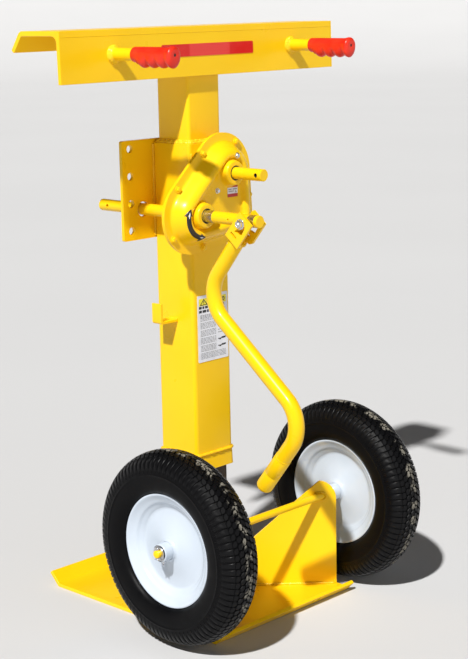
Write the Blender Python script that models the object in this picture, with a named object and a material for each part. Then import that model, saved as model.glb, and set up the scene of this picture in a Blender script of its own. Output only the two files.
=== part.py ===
"""Wheeled beam-type trailer stabilizing jack.

A geared leg stands on a folded base plate and carries a channel beam. Two wheels on a
through axle sit at the front edge. Metres, +Z up, -Y is the front, and the origin is on
the floor under the column's axis.
"""
import math

import bmesh
import bpy
from mathutils import Matrix, Vector

GAP = 0.0003

# Base plate and inner leg
BASE_HALF_X = 0.2098
BASE_FRONT = -0.2555
BASE_BACK = 0.248
BASE_THICK = 0.008
LIP_FRONT = 0.019
LIP_BACK = 0.027
LEG_HALF = 0.0475
LEG_WALL = 0.006
LEG_TOP = 0.600
NUT_THICK = 0.012
NUT_BOSS_R = 0.028
NUT_BOSS_LEN = 0.032

# Diagonal gussets that carry the axle
GUSSET_THICK = 0.00635
GUSSET_OFFSET = -0.0175
GUSSET_REACH = 0.306
GUSSET_CORNER_R = 0.040
GUSSET_TOP = 0.248
GUSSET_SLOPE = 0.88
REAR_REACH = 0.165
REAR_TOP = 0.105

# Axle and wheels
AXLE_Y = -0.2025
AXLE_Z = 0.2127
AXLE_R = 0.008
AXLE_END = 0.322
WHEEL_X = 0.260
TYRE_R = 0.2032
TYRE_HALF = 0.047
RIM_FLANGE_R = 0.1188
RIM_SEAT_R = 0.1010
RIM_HALF = 0.034
HUB_R = 0.019
HUB_BORE_R = 0.0172
HUB_IN = 0.0503
HUB_OUT = 0.051
WASHER_R = 0.0150

# Column
TUBE_HALF = 0.0558
TUBE_WALL = 0.006
TUBE_BOTTOM = 0.2915
TUBE_TOP = 1.004
COLLAR_TOP = 0.328
COLLAR_HALF = 0.0592
POST_HALF = 0.0475
POST_WALL = 0.005
POST_BOTTOM = 0.985
POST_TOP = 1.2352
BEAM_HALF = 0.397
BEAM_TOP = 1.2465
BEAM_FRONT_BOTTOM = 1.1446
HANDLE_X = 0.259
HANDLE_Z = 1.198
HANDLE_R = 0.0127
HANDLE_END = -0.231
GRIP_START = -0.1215
GRIP_END = -0.2335
FLANGE_HALF_X = 0.144
FLANGE_LOW = 0.800
FLANGE_HIGH = 1.012
FLANGE_THICK = 0.008
FLANGE_BOLT_X = 0.1215
FLANGE_BOLT_Z = (0.8205, 0.8785, 0.9365, 0.9945)

# Gearbox: three round lobes joined by straight sides, seen from the front
OUTPUT_X = 0.0
OUTPUT_Z = 0.945
INPUT_X = -0.0875
INPUT_Z = 0.8645
LOBES = ((0.002, 0.945, 0.082), (-0.090, 0.862, 0.0805), (0.027, 0.858, 0.062))
COVER_Y = -0.092
CASE_Y = -0.0561
SHEET = 0.004
BOSS_Y = -0.136
BOSS_R = 0.027
SHAFT_R = 0.0127
SHAFT_HOLE_R = 0.0158
OUTPUT_END = -0.216
INPUT_FRONT = -0.285
INPUT_REAR = 0.186

# Gears
BEVEL_MODULE = 0.0042
BEVEL_PINION_TEETH = 10
BEVEL_GEAR_TEETH = 20
BEVEL_SCALE = 0.68
SPUR_MODULE = 0.0040
OUTPUT_TEETH = 24
IDLER_TEETH = 18
PINION_TEETH = 13
GEAR_Y = -0.084
GEAR_FACE = 0.012
PINION_Y = -0.0985

# Lift screw
SCREW_R = 0.014
SCREW_BOTTOM = 0.500
SCREW_COLLAR_Z = 0.870
SCREW_NECK_R = 0.012
SCREW_TOP = 0.921
THRUST_Z = 0.880
PLATE_Z = 0.893

# Crank, folded down beside the column
BOLT_Y = -0.2525
BOLT_Z = 0.860
BOLT_R = 0.005
EAR_GAP_HALF = 0.0165
EAR_THICK = 0.006
CRANK_R = 0.0163
CRANK_BENDS = ((-0.1237, 0.6956), (-0.4023, 0.4696))
CRANK_TIP = (-0.2805, 0.3116)
GRIP_LEN = 0.098
GRIP_ROD_R = 0.011
GRIP_SLEEVE_R = 0.0178


def clear_scene():
    for item in list(bpy.data.objects):
        bpy.data.objects.remove(item, do_unlink=True)


def material(name, colour, roughness, metallic):
    mat = bpy.data.materials.new(name)
    mat.use_nodes = True
    shader = mat.node_tree.nodes["Principled BSDF"]
    shader.inputs["Base Color"].default_value = (*colour, 1.0)
    shader.inputs["Roughness"].default_value = roughness
    shader.inputs["Metallic"].default_value = metallic
    return mat


LOOKS = {
    "yellow": ((0.90, 0.58, 0.02), 0.38, 0.0),
    "bare_steel": ((0.10, 0.08, 0.07), 0.45, 1.0),
    "zinc": ((0.66, 0.67, 0.70), 0.28, 1.0),
    "bronze": ((0.42, 0.27, 0.10), 0.40, 1.0),
    "rubber": ((0.02, 0.02, 0.022), 0.80, 0.0),
    "white": ((0.86, 0.88, 0.90), 0.18, 0.0),
    "red_vinyl": ((0.80, 0.05, 0.02), 0.35, 0.0),
    "tape": ((0.75, 0.10, 0.08), 0.30, 0.0),
    "label": ((0.82, 0.82, 0.82), 0.45, 0.0),
}


def empty(name, place):
    item = bpy.data.objects.new(name, None)
    item.location = place
    item.empty_display_size = 0.05
    bpy.context.scene.collection.objects.link(item)
    return item


def finish(name, bm, look, parent=None, smooth=None):
    """Turn a world-space bmesh into a named object under its parent empty."""
    bmesh.ops.recalc_face_normals(bm, faces=bm.faces)
    place = parent.location if parent else Vector((0, 0, 0))
    bmesh.ops.translate(bm, vec=-place, verts=bm.verts)
    mesh = bpy.data.meshes.new(name)
    bm.to_mesh(mesh)
    bm.free()
    item = bpy.data.objects.new(name, mesh)
    bpy.context.scene.collection.objects.link(item)
    item.parent = parent
    if look:
        mesh.materials.append(material(name, *LOOKS[look]))
    if smooth is not None:
        mesh.shade_smooth()
        mesh.set_sharp_from_angle(angle=math.radians(smooth))
    return item


def boolean(item, operation, bm, name):
    """Cut or join a shape, kept as a hidden wire guide under the same parent."""
    guide = finish(name, bm, None, item.parent)
    guide.hide_render = True
    guide.hide_viewport = False
    guide.display_type = "WIRE"
    change = item.modifiers.new(name, "BOOLEAN")
    change.operation = operation
    change.solver = "EXACT"
    change.object = guide


def cut(item, bm, name):
    boolean(item, "DIFFERENCE", bm, name)


def loops_to_bmesh(loops, close_ends=True, ring=False):
    """Skin a list of equal vertex loops; ring joins the last loop to the first."""
    bm = bmesh.new()
    rows = [[bm.verts.new(point) for point in loop] for loop in loops]
    count = len(rows[0])
    pairs = list(zip(rows, rows[1:]))
    if ring:
        pairs.append((rows[-1], rows[0]))
    for first, second in pairs:
        for i in range(count):
            j = (i + 1) % count
            bm.faces.new((first[i], first[j], second[j], second[i]))
    if close_ends and not ring:
        bm.faces.new(list(reversed(rows[0])))
        bm.faces.new(rows[-1])
    return bm


def prism(outline, axis, low, high):
    """Extrude a flat outline along X, Y or Z between two positions."""
    def at(point, level):
        if axis == "X":
            return (level, point[0], point[1])
        if axis == "Y":
            return (point[0], level, point[1])
        return (point[0], point[1], level)
    return loops_to_bmesh([[at(p, low) for p in outline], [at(p, high) for p in outline]])


def box(x0, x1, y0, y1, z0, z1):
    return prism(((x0, y0), (x1, y0), (x1, y1), (x0, y1)), "Z", z0, z1)


def turned(profile, centre, direction, segments=16, ring=False):
    """Turn (distance along axis, radius) points about an axis through centre."""
    direction = Vector(direction).normalized()
    side = direction.orthogonal().normalized()
    if abs(direction.x) > 0.9:
        side = Vector((0, 0, 1))
    other = direction.cross(side)
    loops = []
    for along, radius in profile:
        loop = []
        for i in range(segments):
            a = 2 * math.pi * i / segments
            spoke = side * math.cos(a) + other * math.sin(a)
            loop.append(Vector(centre) + direction * along + spoke * radius)
        loops.append(loop)
    return loops_to_bmesh(loops, ring=ring)


def cylinder(start, end, radius, segments=16):
    length = (Vector(end) - Vector(start)).length
    direction = Vector(end) - Vector(start)
    return turned(((0, radius), (length, radius)), start, direction, segments)


def washer(start, end, inner, outer, segments=16):
    length = (Vector(end) - Vector(start)).length
    profile = ((0, inner), (0, outer), (length, outer), (length, inner))
    return turned(profile, start, Vector(end) - Vector(start), segments, ring=True)


def rounded_square(half, radius, steps=3):
    points = []
    for corner in range(4):
        centre_angle = math.pi / 4 + corner * math.pi / 2
        cx = (half - radius) * math.copysign(1, math.cos(centre_angle))
        cy = (half - radius) * math.copysign(1, math.sin(centre_angle))
        for step in range(steps + 1):
            a = corner * math.pi / 2 + step * math.pi / 2 / steps
            points.append((cx + radius * math.cos(a), cy + radius * math.sin(a)))
    return points


def square_tube(levels, inner_half, inner_radius):
    """Square tube from (z, outer half, outer corner radius) levels with a straight bore."""
    loops = []
    for z, half, radius in levels:
        loops.append([(x, y, z) for x, y in rounded_square(half, radius)])
    for z in (levels[-1][0], levels[0][0]):
        loops.append([(x, y, z) for x, y in rounded_square(inner_half, inner_radius)])
    return loops_to_bmesh(loops, ring=True)


def arc(cx, cy, radius, start, end, steps):
    points = []
    for i in range(steps + 1):
        a = math.radians(start + (end - start) * i / steps)
        points.append((cx + radius * math.cos(a), cy + radius * math.sin(a)))
    return points


def bent_path(points, radii, steps=6):
    """Round the inner corners of a path of (y, z) points."""
    path = [Vector(points[0])]
    for i, radius in enumerate(radii, start=1):
        here = Vector(points[i])
        back = (Vector(points[i - 1]) - here).normalized()
        ahead = (Vector(points[i + 1]) - here).normalized()
        half = back.angle(ahead) / 2
        reach = radius / math.tan(half)
        middle = (back + ahead).normalized()
        centre = here + middle * (radius / math.sin(half))
        first = here + back * reach - centre
        last = here + ahead * reach - centre
        turn = first.angle_signed(last)
        for step in range(steps + 1):
            a = -turn * step / steps
            path.append(centre + Matrix.Rotation(a, 2) @ first)
    path.append(Vector(points[-1]))
    return path


def swept_rod(path, x, radii, segments=14):
    """Round rod along a (y, z) path in a plane of constant x, with a radius per point."""
    loops = []
    for i, point in enumerate(path):
        before = path[max(i - 1, 0)]
        after = path[min(i + 1, len(path) - 1)]
        along = (after - before).normalized()
        across = Vector((0, -along.y, along.x))
        loop = []
        for k in range(segments):
            a = 2 * math.pi * k / segments
            offset = Vector((math.cos(a), 0, 0)) + across * math.sin(a)
            loop.append(Vector((x, point.x, point.y)) + offset * radii[i])
        loops.append(loop)
    return loops_to_bmesh(loops)


def tooth_heights(teeth, module):
    """(angle, height over the pitch circle) for every outline point of a gear."""
    pitch = 2 * math.pi / teeth
    points = []
    for i in range(teeth):
        middle = i * pitch
        points.append((middle - 0.30 * pitch, -1.05 * module))
        points.append((middle - 0.11 * pitch, 0.80 * module))
        points.append((middle + 0.11 * pitch, 0.80 * module))
        points.append((middle + 0.30 * pitch, -1.05 * module))
    return points


# ---------------------------------------------------------------- base

def base_plate():
    t = BASE_THICK
    fold = t * math.tan(math.radians(22.5))
    skew = t * math.sqrt(0.5)
    outline = [
        (BASE_FRONT, 0), (BASE_BACK, 0), (BASE_BACK + LIP_BACK, LIP_BACK),
        (BASE_BACK + LIP_BACK - skew, LIP_BACK + skew), (BASE_BACK - fold, t),
        (BASE_FRONT + fold, t), (BASE_FRONT - LIP_FRONT + skew, LIP_FRONT + skew),
        (BASE_FRONT - LIP_FRONT, LIP_FRONT)]
    finish("base_plate", prism(outline, "X", -BASE_HALF_X, BASE_HALF_X), "yellow")


def leg_space():
    half = LEG_HALF + GAP
    return box(-half, half, -half, half, 0, 0.4)


def radial_plate(outline, offset, side_x, side_y):
    """Upright plate along a diagonal from the column's axis; outline is (reach, z)."""
    loops = []
    half = GUSSET_THICK / 2
    for level in (-half, half):
        shift = offset / 2 + level * math.sqrt(0.5)
        loop = []
        for reach, z in outline:
            x = shift + reach * math.sqrt(0.5)
            y = shift - reach * math.sqrt(0.5)
            loop.append((x * side_x, y * side_y, z))
        loops.append(loop)
    return loops_to_bmesh(loops)


def front_gusset(name, side):
    low = BASE_THICK + GAP
    centre = GUSSET_REACH - GUSSET_CORNER_R
    corner_z = GUSSET_TOP - GUSSET_CORNER_R
    outline = [(0.0, low), (GUSSET_REACH, low)]
    outline += arc(centre, corner_z, GUSSET_CORNER_R, 0, 87, 8)
    outline.append((0.0, GUSSET_TOP - GUSSET_SLOPE * centre))
    plate = finish(name, radial_plate(outline, GUSSET_OFFSET, side, 1), "yellow")
    cut(plate, leg_space(), name + "_leg_space")
    hole = cylinder((side * 0.150, AXLE_Y, AXLE_Z), (side * 0.230, AXLE_Y, AXLE_Z),
                    AXLE_R + GAP, 16)
    cut(plate, hole, name + "_axle_hole")


def rear_gusset(name, side):
    low = BASE_THICK + GAP
    outline = [(0.0, low), (REAR_REACH, low), (REAR_REACH, low + 0.012), (0.045, REAR_TOP),
               (0.0, REAR_TOP)]
    plate = finish(name, radial_plate(outline, 0.0, side, -1), "yellow")
    cut(plate, leg_space(), name + "_leg_space")


def inner_leg():
    levels = ((BASE_THICK + GAP, LEG_HALF, 0.007), (LEG_TOP, LEG_HALF, 0.007))
    tube = square_tube(levels, LEG_HALF - LEG_WALL, 0.003)
    finish("inner_leg", tube, "bare_steel", smooth=30)


def lift_nut():
    z0 = LEG_TOP + GAP
    bore = SCREW_R + 0.0006
    half = LEG_HALF - 0.002
    loops = []
    steps = 24

    def ring(radius, z):
        angles = [2 * math.pi * (i + 0.5) / steps for i in range(steps)]
        return [(radius * math.cos(a), radius * math.sin(a), z) for a in angles]

    def square(z):
        points = []
        for i in range(steps):
            a = 2 * math.pi * (i + 0.5) / steps
            reach = half / max(abs(math.cos(a)), abs(math.sin(a)))
            points.append((reach * math.cos(a), reach * math.sin(a), z))
        return points

    loops.append(ring(bore, z0 - NUT_BOSS_LEN))
    loops.append(ring(NUT_BOSS_R, z0 - NUT_BOSS_LEN))
    loops.append(ring(NUT_BOSS_R, z0))
    loops.append(square(z0))
    loops.append(square(z0 + NUT_THICK))
    loops.append(ring(bore, z0 + NUT_THICK))
    finish("lift_nut", loops_to_bmesh(loops, ring=True), "bronze", smooth=30)


def wheel_axle():
    stop = WHEEL_X - HUB_IN - GAP
    collar = 0.0125
    end = AXLE_END
    half = ((0, AXLE_R), (stop - 0.0045, AXLE_R), (stop - 0.0045, collar), (stop, collar),
            (stop, AXLE_R), (end - 0.0015, AXLE_R), (end, AXLE_R - 0.0015))
    profile = [(-x, r) for x, r in reversed(half)] + list(half[1:])
    rod = turned(profile, (0, AXLE_Y, AXLE_Z), (1, 0, 0), 12)
    axle = finish("wheel_axle", rod, "yellow", smooth=30)
    for side in (-1, 1):
        x = side * (end - 0.0040)
        pin = cylinder((x, AXLE_Y, AXLE_Z - 0.013), (x, AXLE_Y, AXLE_Z + 0.013), 0.0018, 8)
        boolean(axle, "UNION", pin, "axle_pin")


def axle_washer(name, side):
    start = side * (WHEEL_X + HUB_OUT + GAP)
    end = side * (WHEEL_X + HUB_OUT + 0.0030)
    ring = washer((start, AXLE_Y, AXLE_Z), (end, AXLE_Y, AXLE_Z), AXLE_R + GAP, WASHER_R)
    finish(name, ring, "zinc", smooth=30)


# ---------------------------------------------------------------- wheels

def tyre(name, side, pivot):
    bead = RIM_SEAT_R + 2 * GAP
    inside = RIM_HALF - 0.0045
    half = [(0.0, TYRE_R), (0.012, TYRE_R - 0.0012), (0.024, TYRE_R - 0.0050),
            (0.034, TYRE_R - 0.0114), (0.041, TYRE_R - 0.0202), (0.045, TYRE_R - 0.0312),
            (TYRE_HALF, TYRE_R - 0.0452),
            (0.0420, 0.129), (inside, RIM_FLANGE_R + 0.0008), (inside, bead)]
    profile = [(-x, r) for x, r in reversed(half)] + half[1:]
    centre = (side * WHEEL_X, AXLE_Y, AXLE_Z)
    ring = turned(profile, centre, (1, 0, 0), 28, ring=True)
    finish(name, ring, "rubber", pivot, smooth=35)


def rim(name, side, pivot):
    """Pressed rim barrel with a dished disc on each side; both bulge outward at the hub."""
    h = RIM_HALF
    t = 0.003
    drop = 0.090
    disc = 0.012
    bulge = 0.028
    cone_r = 0.062
    eye = HUB_R + GAP
    outer = [(-h + 0.004, RIM_FLANGE_R), (-h + 0.004, RIM_SEAT_R), (-0.018, RIM_SEAT_R),
             (-0.012, drop), (0.012, drop), (0.018, RIM_SEAT_R),
             (h - 0.004, RIM_SEAT_R), (h - 0.004, RIM_FLANGE_R)]
    half = [(h, RIM_FLANGE_R), (h - 0.001, RIM_SEAT_R - t), (disc + 0.0025, drop - t),
            (disc, cone_r), (bulge, eye), (bulge - 0.0035, eye), (disc - t, cone_r),
            (disc - t, drop - t)]
    profile = outer + half + [(-x, r) for x, r in reversed(half)]
    centre = (side * WHEEL_X, AXLE_Y, AXLE_Z)
    ring = turned(profile, centre, (side, 0, 0), 28, ring=True)
    finish(name, ring, "white", pivot, smooth=35)


def hub(name, side, pivot):
    start = (side * (WHEEL_X - HUB_IN), AXLE_Y, AXLE_Z)
    end = (side * (WHEEL_X + HUB_OUT), AXLE_Y, AXLE_Z)
    item = finish(name, washer(start, end, HUB_BORE_R, HUB_R, 20), "white", pivot, smooth=30)
    x = side * (WHEEL_X + 0.040)
    hole = cylinder((x, AXLE_Y, AXLE_Z - 0.012), (x, AXLE_Y, AXLE_Z - 0.030), 0.0033, 8)
    cut(item, hole, name + "_nipple_hole")


def wheel_bearing(name, side, pivot):
    start = (side * (WHEEL_X - HUB_IN + 0.002), AXLE_Y, AXLE_Z)
    end = (side * (WHEEL_X + HUB_OUT - 0.0010), AXLE_Y, AXLE_Z)
    ring = washer(start, end, AXLE_R + GAP, HUB_BORE_R - GAP, 20)
    item = finish(name, ring, "zinc", pivot, smooth=30)
    x = side * (WHEEL_X + 0.040)
    port = cylinder((x, AXLE_Y, AXLE_Z), (x, AXLE_Y, AXLE_Z - 0.030), 0.0034, 8)
    cut(item, port, name + "_grease_port")


def grease_nipple(name, side, pivot):
    x = side * (WHEEL_X + 0.040)
    profile = ((0, 0.0029), (0.0050, 0.0029), (0.0050, 0.0045), (0.0080, 0.0045),
               (0.0080, 0.0028), (0.0120, 0.0028), (0.0140, 0.0016))
    stem = turned(profile, (x, AXLE_Y, AXLE_Z - 0.0145), (0, 0, -1), 8)
    finish(name, stem, "zinc", pivot, smooth=30)


def wheel(prefix, side):
    pivot = empty(prefix + "_wheel_axis", (side * WHEEL_X, AXLE_Y, AXLE_Z))
    tyre(prefix + "_tyre", side, pivot)
    rim(prefix + "_rim", side, pivot)
    hub(prefix + "_hub", side, pivot)
    wheel_bearing(prefix + "_bearing", side, pivot)
    grease_nipple(prefix + "_grease_nipple", side, pivot)


# ---------------------------------------------------------------- column

def outer_tube(pivot):
    levels = ((TUBE_BOTTOM, TUBE_HALF, 0.008), (TUBE_TOP, TUBE_HALF, 0.008))
    tube = square_tube(levels, TUBE_HALF - TUBE_WALL, 0.003)
    item = finish("outer_tube", tube, "yellow", pivot, smooth=30)
    hole = cylinder((OUTPUT_X, -0.070, OUTPUT_Z), (OUTPUT_X, -0.040, OUTPUT_Z),
                    SHAFT_R + 0.0005, 20)
    cut(item, hole, "tube_shaft_hole")


def foot_collar(pivot):
    levels = ((TUBE_BOTTOM + 0.0005, COLLAR_HALF - 0.0015, 0.009),
              (TUBE_BOTTOM + 0.003, COLLAR_HALF, 0.010),
              (COLLAR_TOP - 0.002, COLLAR_HALF, 0.010),
              (COLLAR_TOP, COLLAR_HALF - 0.0015, 0.009))
    ring = square_tube(levels, TUBE_HALF + GAP, 0.0081)
    finish("foot_collar", ring, "yellow", pivot, smooth=30)


def upper_post(pivot):
    """Post with the square weld bead that seats it on the outer tube's mouth."""
    bead = POST_HALF + 0.0055
    levels = ((POST_BOTTOM, POST_HALF, 0.007), (TUBE_TOP + GAP, POST_HALF, 0.007),
              (TUBE_TOP + GAP, bead, 0.010), (TUBE_TOP + 0.004, bead - 0.001, 0.010),
              (TUBE_TOP + 0.009, POST_HALF, 0.007), (POST_TOP, POST_HALF, 0.007))
    tube = square_tube(levels, POST_HALF - POST_WALL, 0.003)
    finish("upper_post", tube, "yellow", pivot, smooth=30)


def beam_front_y(z):
    """Front face of the beam, which leans out slightly towards its lower edge."""
    return -0.0582 - 0.0022 * (BEAM_TOP - z) / (BEAM_TOP - BEAM_FRONT_BOTTOM)


def beam(pivot):
    top = BEAM_TOP
    low = BEAM_FRONT_BOTTOM
    outline = [(beam_front_y(low), low), (-0.0582, top - 0.001), (-0.0572, top),
               (0.0460, top), (0.0540, top - 0.0015),
               (0.0600, top - 0.0050), (0.0645, top - 0.0095), (0.0880, top - 0.0375),
               (0.0805, top - 0.0435), (0.0555, top - 0.0155), (0.0520, top - 0.0110),
               (0.0470, top - 0.0090), (-0.0440, top - 0.0090), (-0.0470, top - 0.0100),
               (-0.0490, top - 0.0125), (-0.0497, top - 0.0160), (-0.0521, low)]
    finish("beam", prism(outline, "X", -BEAM_HALF, BEAM_HALF), "yellow", pivot, smooth=40)


def handle(name, side, pivot):
    start = beam_front_y(HANDLE_Z) - 0.0006
    profile = ((0, 0.0185), (0.0015, 0.0190), (0.0050, 0.0155), (0.0090, HANDLE_R),
               (start - HANDLE_END, HANDLE_R))
    bar = turned(profile, (side * HANDLE_X, start, HANDLE_Z), (0, -1, 0), 16)
    finish(name, bar, "yellow", pivot, smooth=40)


def grip_bulge(y):
    """Height of the finger ridges under the grip."""
    lobe = math.cos(2 * math.pi * (y - GRIP_END - 0.0052) / 0.0262)
    fade = min(1.0, max(0.0, (GRIP_START - 0.0130 - y) / 0.0060))
    return fade * (0.0062 + 0.0024 * lobe)


def hand_grip(name, side, pivot):
    segments = 12
    bore = (HANDLE_R + GAP) / math.cos(math.pi / segments)
    loops = []

    def ring(y, radius, bulge):
        loop = []
        for k in range(segments):
            a = 2 * math.pi * k / segments
            down = max(0.0, -math.sin(a)) ** 1.5
            r = radius + bulge * down
            x = side * HANDLE_X + r * math.cos(a)
            loop.append((x, y, HANDLE_Z + r * math.sin(a)))
        return loop

    loops.append(ring(HANDLE_END - GAP, bore, 0))
    loops.append(ring(GRIP_START, bore, 0))
    loops.append(ring(GRIP_START, 0.0190, 0))
    loops.append(ring(GRIP_START - 0.004, 0.0190, 0))
    loops.append(ring(GRIP_START - 0.006, 0.0170, 0))
    steps = 16
    first = GRIP_START - 0.012
    last = GRIP_END + 0.0052
    for i in range(steps + 1):
        y = first + (last - first) * i / steps
        loops.append(ring(y, 0.0170, grip_bulge(y)))
    loops.append(ring(GRIP_END + 0.0016, 0.0155, 0.0065))
    loops.append(ring(GRIP_END, 0.0130, 0.0040))
    finish(name, loops_to_bmesh(loops), "red_vinyl", pivot, smooth=50)


def reflective_tape(pivot):
    low = 1.1855
    high = 1.2110
    near = 0.0008
    outline = ((beam_front_y(low) - GAP, low), (beam_front_y(high) - GAP, high),
               (beam_front_y(high) - near, high), (beam_front_y(low) - near, low))
    finish("reflective_tape", prism(outline, "X", -0.130, 0.139), "tape", pivot)


def mounting_flange(pivot):
    r = 0.004
    w = FLANGE_HALF_X - r
    low = FLANGE_LOW + r
    high = FLANGE_HIGH - r
    outline = []
    for cx, cz, start in ((w, high, 0), (-w, high, 90), (-w, low, 180), (w, low, 270)):
        outline += arc(cx, cz, r, start, start + 90, 2)
    front = TUBE_HALF + GAP
    plate = prism(outline, "Y", front, front + FLANGE_THICK)
    item = finish("mounting_flange", plate, "yellow", pivot)
    for side in (-1, 1):
        for z in FLANGE_BOLT_Z:
            x = side * FLANGE_BOLT_X
            cut(item, cylinder((x, 0.04, z), (x, 0.08, z), 0.0083, 12), "flange_bolt_hole")
    shaft = cylinder((INPUT_X, 0.04, INPUT_Z), (INPUT_X, 0.08, INPUT_Z), 0.0162, 16)
    cut(item, shaft, "flange_shaft_hole")


def crank_hook(pivot):
    face = -TUBE_HALF - GAP
    outline = ((face, 0.6225), (-0.1010, 0.6225), (-0.1050, 0.6265), (-0.1050, 0.6670),
               (-0.0995, 0.6670), (-0.0995, 0.6280), (face, 0.6280))
    finish("crank_hook", prism(outline, "Y", -0.008, 0.020), "yellow", pivot)


def warning_label(pivot):
    front = -TUBE_HALF - GAP
    plate = box(-0.0440, 0.0475, front - 0.0005, front, 0.5350, 0.6805)
    finish("warning_label", plate, "label", pivot)


# ---------------------------------------------------------------- gearbox

def lobe_loop(inset, y, segments=30):
    """Outline of the three joined lobes, moved inwards by the inset, at depth y."""
    loop = []
    for i in range(segments):
        a = 2 * math.pi * (i + 0.5) / segments
        normal = Vector((math.cos(a), math.sin(a)))
        best = max(LOBES, key=lambda lobe: lobe[0] * normal.x + lobe[1] * normal.y + lobe[2])
        radius = max(best[2] - inset, 0.002)
        loop.append((best[0] + normal.x * radius, y, best[1] + normal.y * radius))
    return loop


def gearbox_case(pivot):
    back = CASE_Y
    front = COVER_Y + GAP
    floor = back - SHEET
    steps = ((0.038, back), (0.020, front + SHEET), (0.0, front + SHEET), (0.0, front),
             (0.024, front), (0.041, floor))
    shell = loops_to_bmesh([lobe_loop(inset, y) for inset, y in steps])
    item = finish("gearbox_case", shell, "yellow", pivot, smooth=35)
    for x, z, r, name in ((OUTPUT_X, OUTPUT_Z, SHAFT_R + 0.0005, "case_output_hole"),
                          (INPUT_X, INPUT_Z, SHAFT_HOLE_R + GAP, "case_input_hole")):
        cut(item, cylinder((x, -0.075, z), (x, -0.050, z), r), name)


def gearbox_cover(pivot):
    """Pressed cover: flange, rounded shoulder, ridge and a sunken middle."""
    base = COVER_Y
    outside = ((0.0, 0.004), (0.018, 0.004), (0.030, 0.027), (0.038, 0.035),
               (0.045, 0.037), (0.056, 0.024))
    inside = ((0.056, 0.020), (0.045, 0.0325), (0.030, 0.020), (0.020, 0.0), (0.0, 0.0))
    loops = [lobe_loop(inset, base - height) for inset, height in outside + inside]
    bm = bmesh.new()
    rows = [[bm.verts.new(point) for point in loop] for loop in loops]
    count = len(rows[0])
    last = len(outside) - 1
    for k in range(len(rows)):
        if k == last:
            continue
        first = rows[k]
        second = rows[(k + 1) % len(rows)]
        for i in range(count):
            j = (i + 1) % count
            bm.faces.new((first[i], first[j], second[j], second[i]))
    bm.faces.new(rows[last])
    bm.faces.new(list(reversed(rows[last + 1])))
    item = finish("gearbox_cover", bm, "yellow", pivot, smooth=40)
    for x, z, name in ((OUTPUT_X, OUTPUT_Z, "output"), (INPUT_X, INPUT_Z, "input")):
        profile = ((0, BOSS_R), (0.0205, BOSS_R - 0.001), (0.0225, BOSS_R - 0.0035))
        boss = turned(profile, (x, BOSS_Y + 0.0225, z), (0, -1, 0), 24)
        boolean(item, "UNION", boss, name + "_boss")
        hole = cylinder((x, BOSS_Y + 0.034, z), (x, BOSS_Y - 0.010, z), SHAFT_HOLE_R, 20)
        cut(item, hole, name + "_boss_hole")


COVER_BOLTS = ((0.042, 1.0055), (-0.056, 0.9880), (-0.130, 0.9210), (-0.147, 0.8190),
               (-0.061, 0.7930), (0.0790, 0.8900))


def cover_bolts(pivot):
    """Hexagon flange bolts; each head stands on the cover's flange."""
    seat = COVER_Y - SHEET - GAP
    for number, (x, z) in enumerate(COVER_BOLTS, start=1):
        profile = ((0, 0.0062), (0.0052, 0.0062), (0.0060, 0.0050))
        head = turned(profile, (x, seat, z), (0, -1, 0), 6)
        finish("cover_bolt_%d" % number, head, "yellow", pivot)


def seal_screws(pivot):
    for number, (x, z, y) in enumerate(((0.0130, 0.9800, -0.1290), (-0.0350, 0.9100, -0.1165)),
                                       start=1):
        profile = ((0, 0.0055), (0.0035, 0.0055), (0.0050, 0.0038))
        head = turned(profile, (x, y - GAP, z), (0, -1, 0), 10)
        finish("seal_screw_%d" % number, head, "zinc", pivot, smooth=30)


def bush(name, x, z, start, end, pivot):
    ring = washer((x, start, z), (x, end, z), SHAFT_R + GAP, SHAFT_HOLE_R - GAP)
    finish(name, ring, "bronze", pivot, smooth=30)


def idler_centre():
    """The idler's axis meshes with both the output gear and the input pinion."""
    first = SPUR_MODULE * (OUTPUT_TEETH + IDLER_TEETH) / 2
    second = SPUR_MODULE * (PINION_TEETH + IDLER_TEETH) / 2
    span = Vector((INPUT_X - OUTPUT_X, INPUT_Z - OUTPUT_Z))
    distance = span.length
    along = (distance ** 2 + first ** 2 - second ** 2) / (2 * distance)
    aside = math.sqrt(first ** 2 - along ** 2)
    unit = span / distance
    return (OUTPUT_X + unit.x * along - unit.y * aside,
            OUTPUT_Z + unit.y * along + unit.x * aside)


def idler_pin(pivot):
    x, z = idler_centre()
    floor = CASE_Y - SHEET - GAP
    profile = ((0, 0.0120), (floor - GEAR_Y - 0.0015, 0.0120),
               (floor - GEAR_Y - 0.0015, 0.0080), (0.0400, 0.0080))
    finish("idler_pin", turned(profile, (x, floor, z), (0, -1, 0), 16), "zinc", pivot,
           smooth=30)


def bearing_plate(pivot):
    half = TUBE_HALF - TUBE_WALL - GAP
    low = PLATE_Z
    plate = prism(rounded_square(half, 0.0035), "Z", low, low + 0.010)
    item = finish("bearing_plate", plate, "bare_steel", pivot)
    cut(item, cylinder((0, 0, low - 0.01), (0, 0, low + 0.02), SCREW_NECK_R + 0.0006, 16),
        "plate_bore")


def thrust_bearing(pivot):
    ring = washer((0, 0, THRUST_Z), (0, 0, PLATE_Z - GAP), SCREW_NECK_R + 0.0006, 0.030, 16)
    finish("thrust_bearing", ring, "zinc", pivot, smooth=30)


def gear_decal(pivot):
    y = COVER_Y - 0.024 - GAP
    finish("gear_decal", box(-0.006, 0.024, y - 0.0004, y, 0.893, 0.918), "label", pivot)


# ---------------------------------------------------------------- mechanism

def spur_rings(x, z, teeth, y, phase):
    """Loops of one spur gear face pair at depths y and y - face."""
    pitch_r = SPUR_MODULE * teeth / 2
    loops = []
    for level in (y, y - GEAR_FACE):
        loop = []
        for a, height in tooth_heights(teeth, SPUR_MODULE):
            r = pitch_r + height
            loop.append((x + r * math.cos(a + phase), level, z + r * math.sin(a + phase)))
        loops.append(loop)
    return loops


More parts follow.
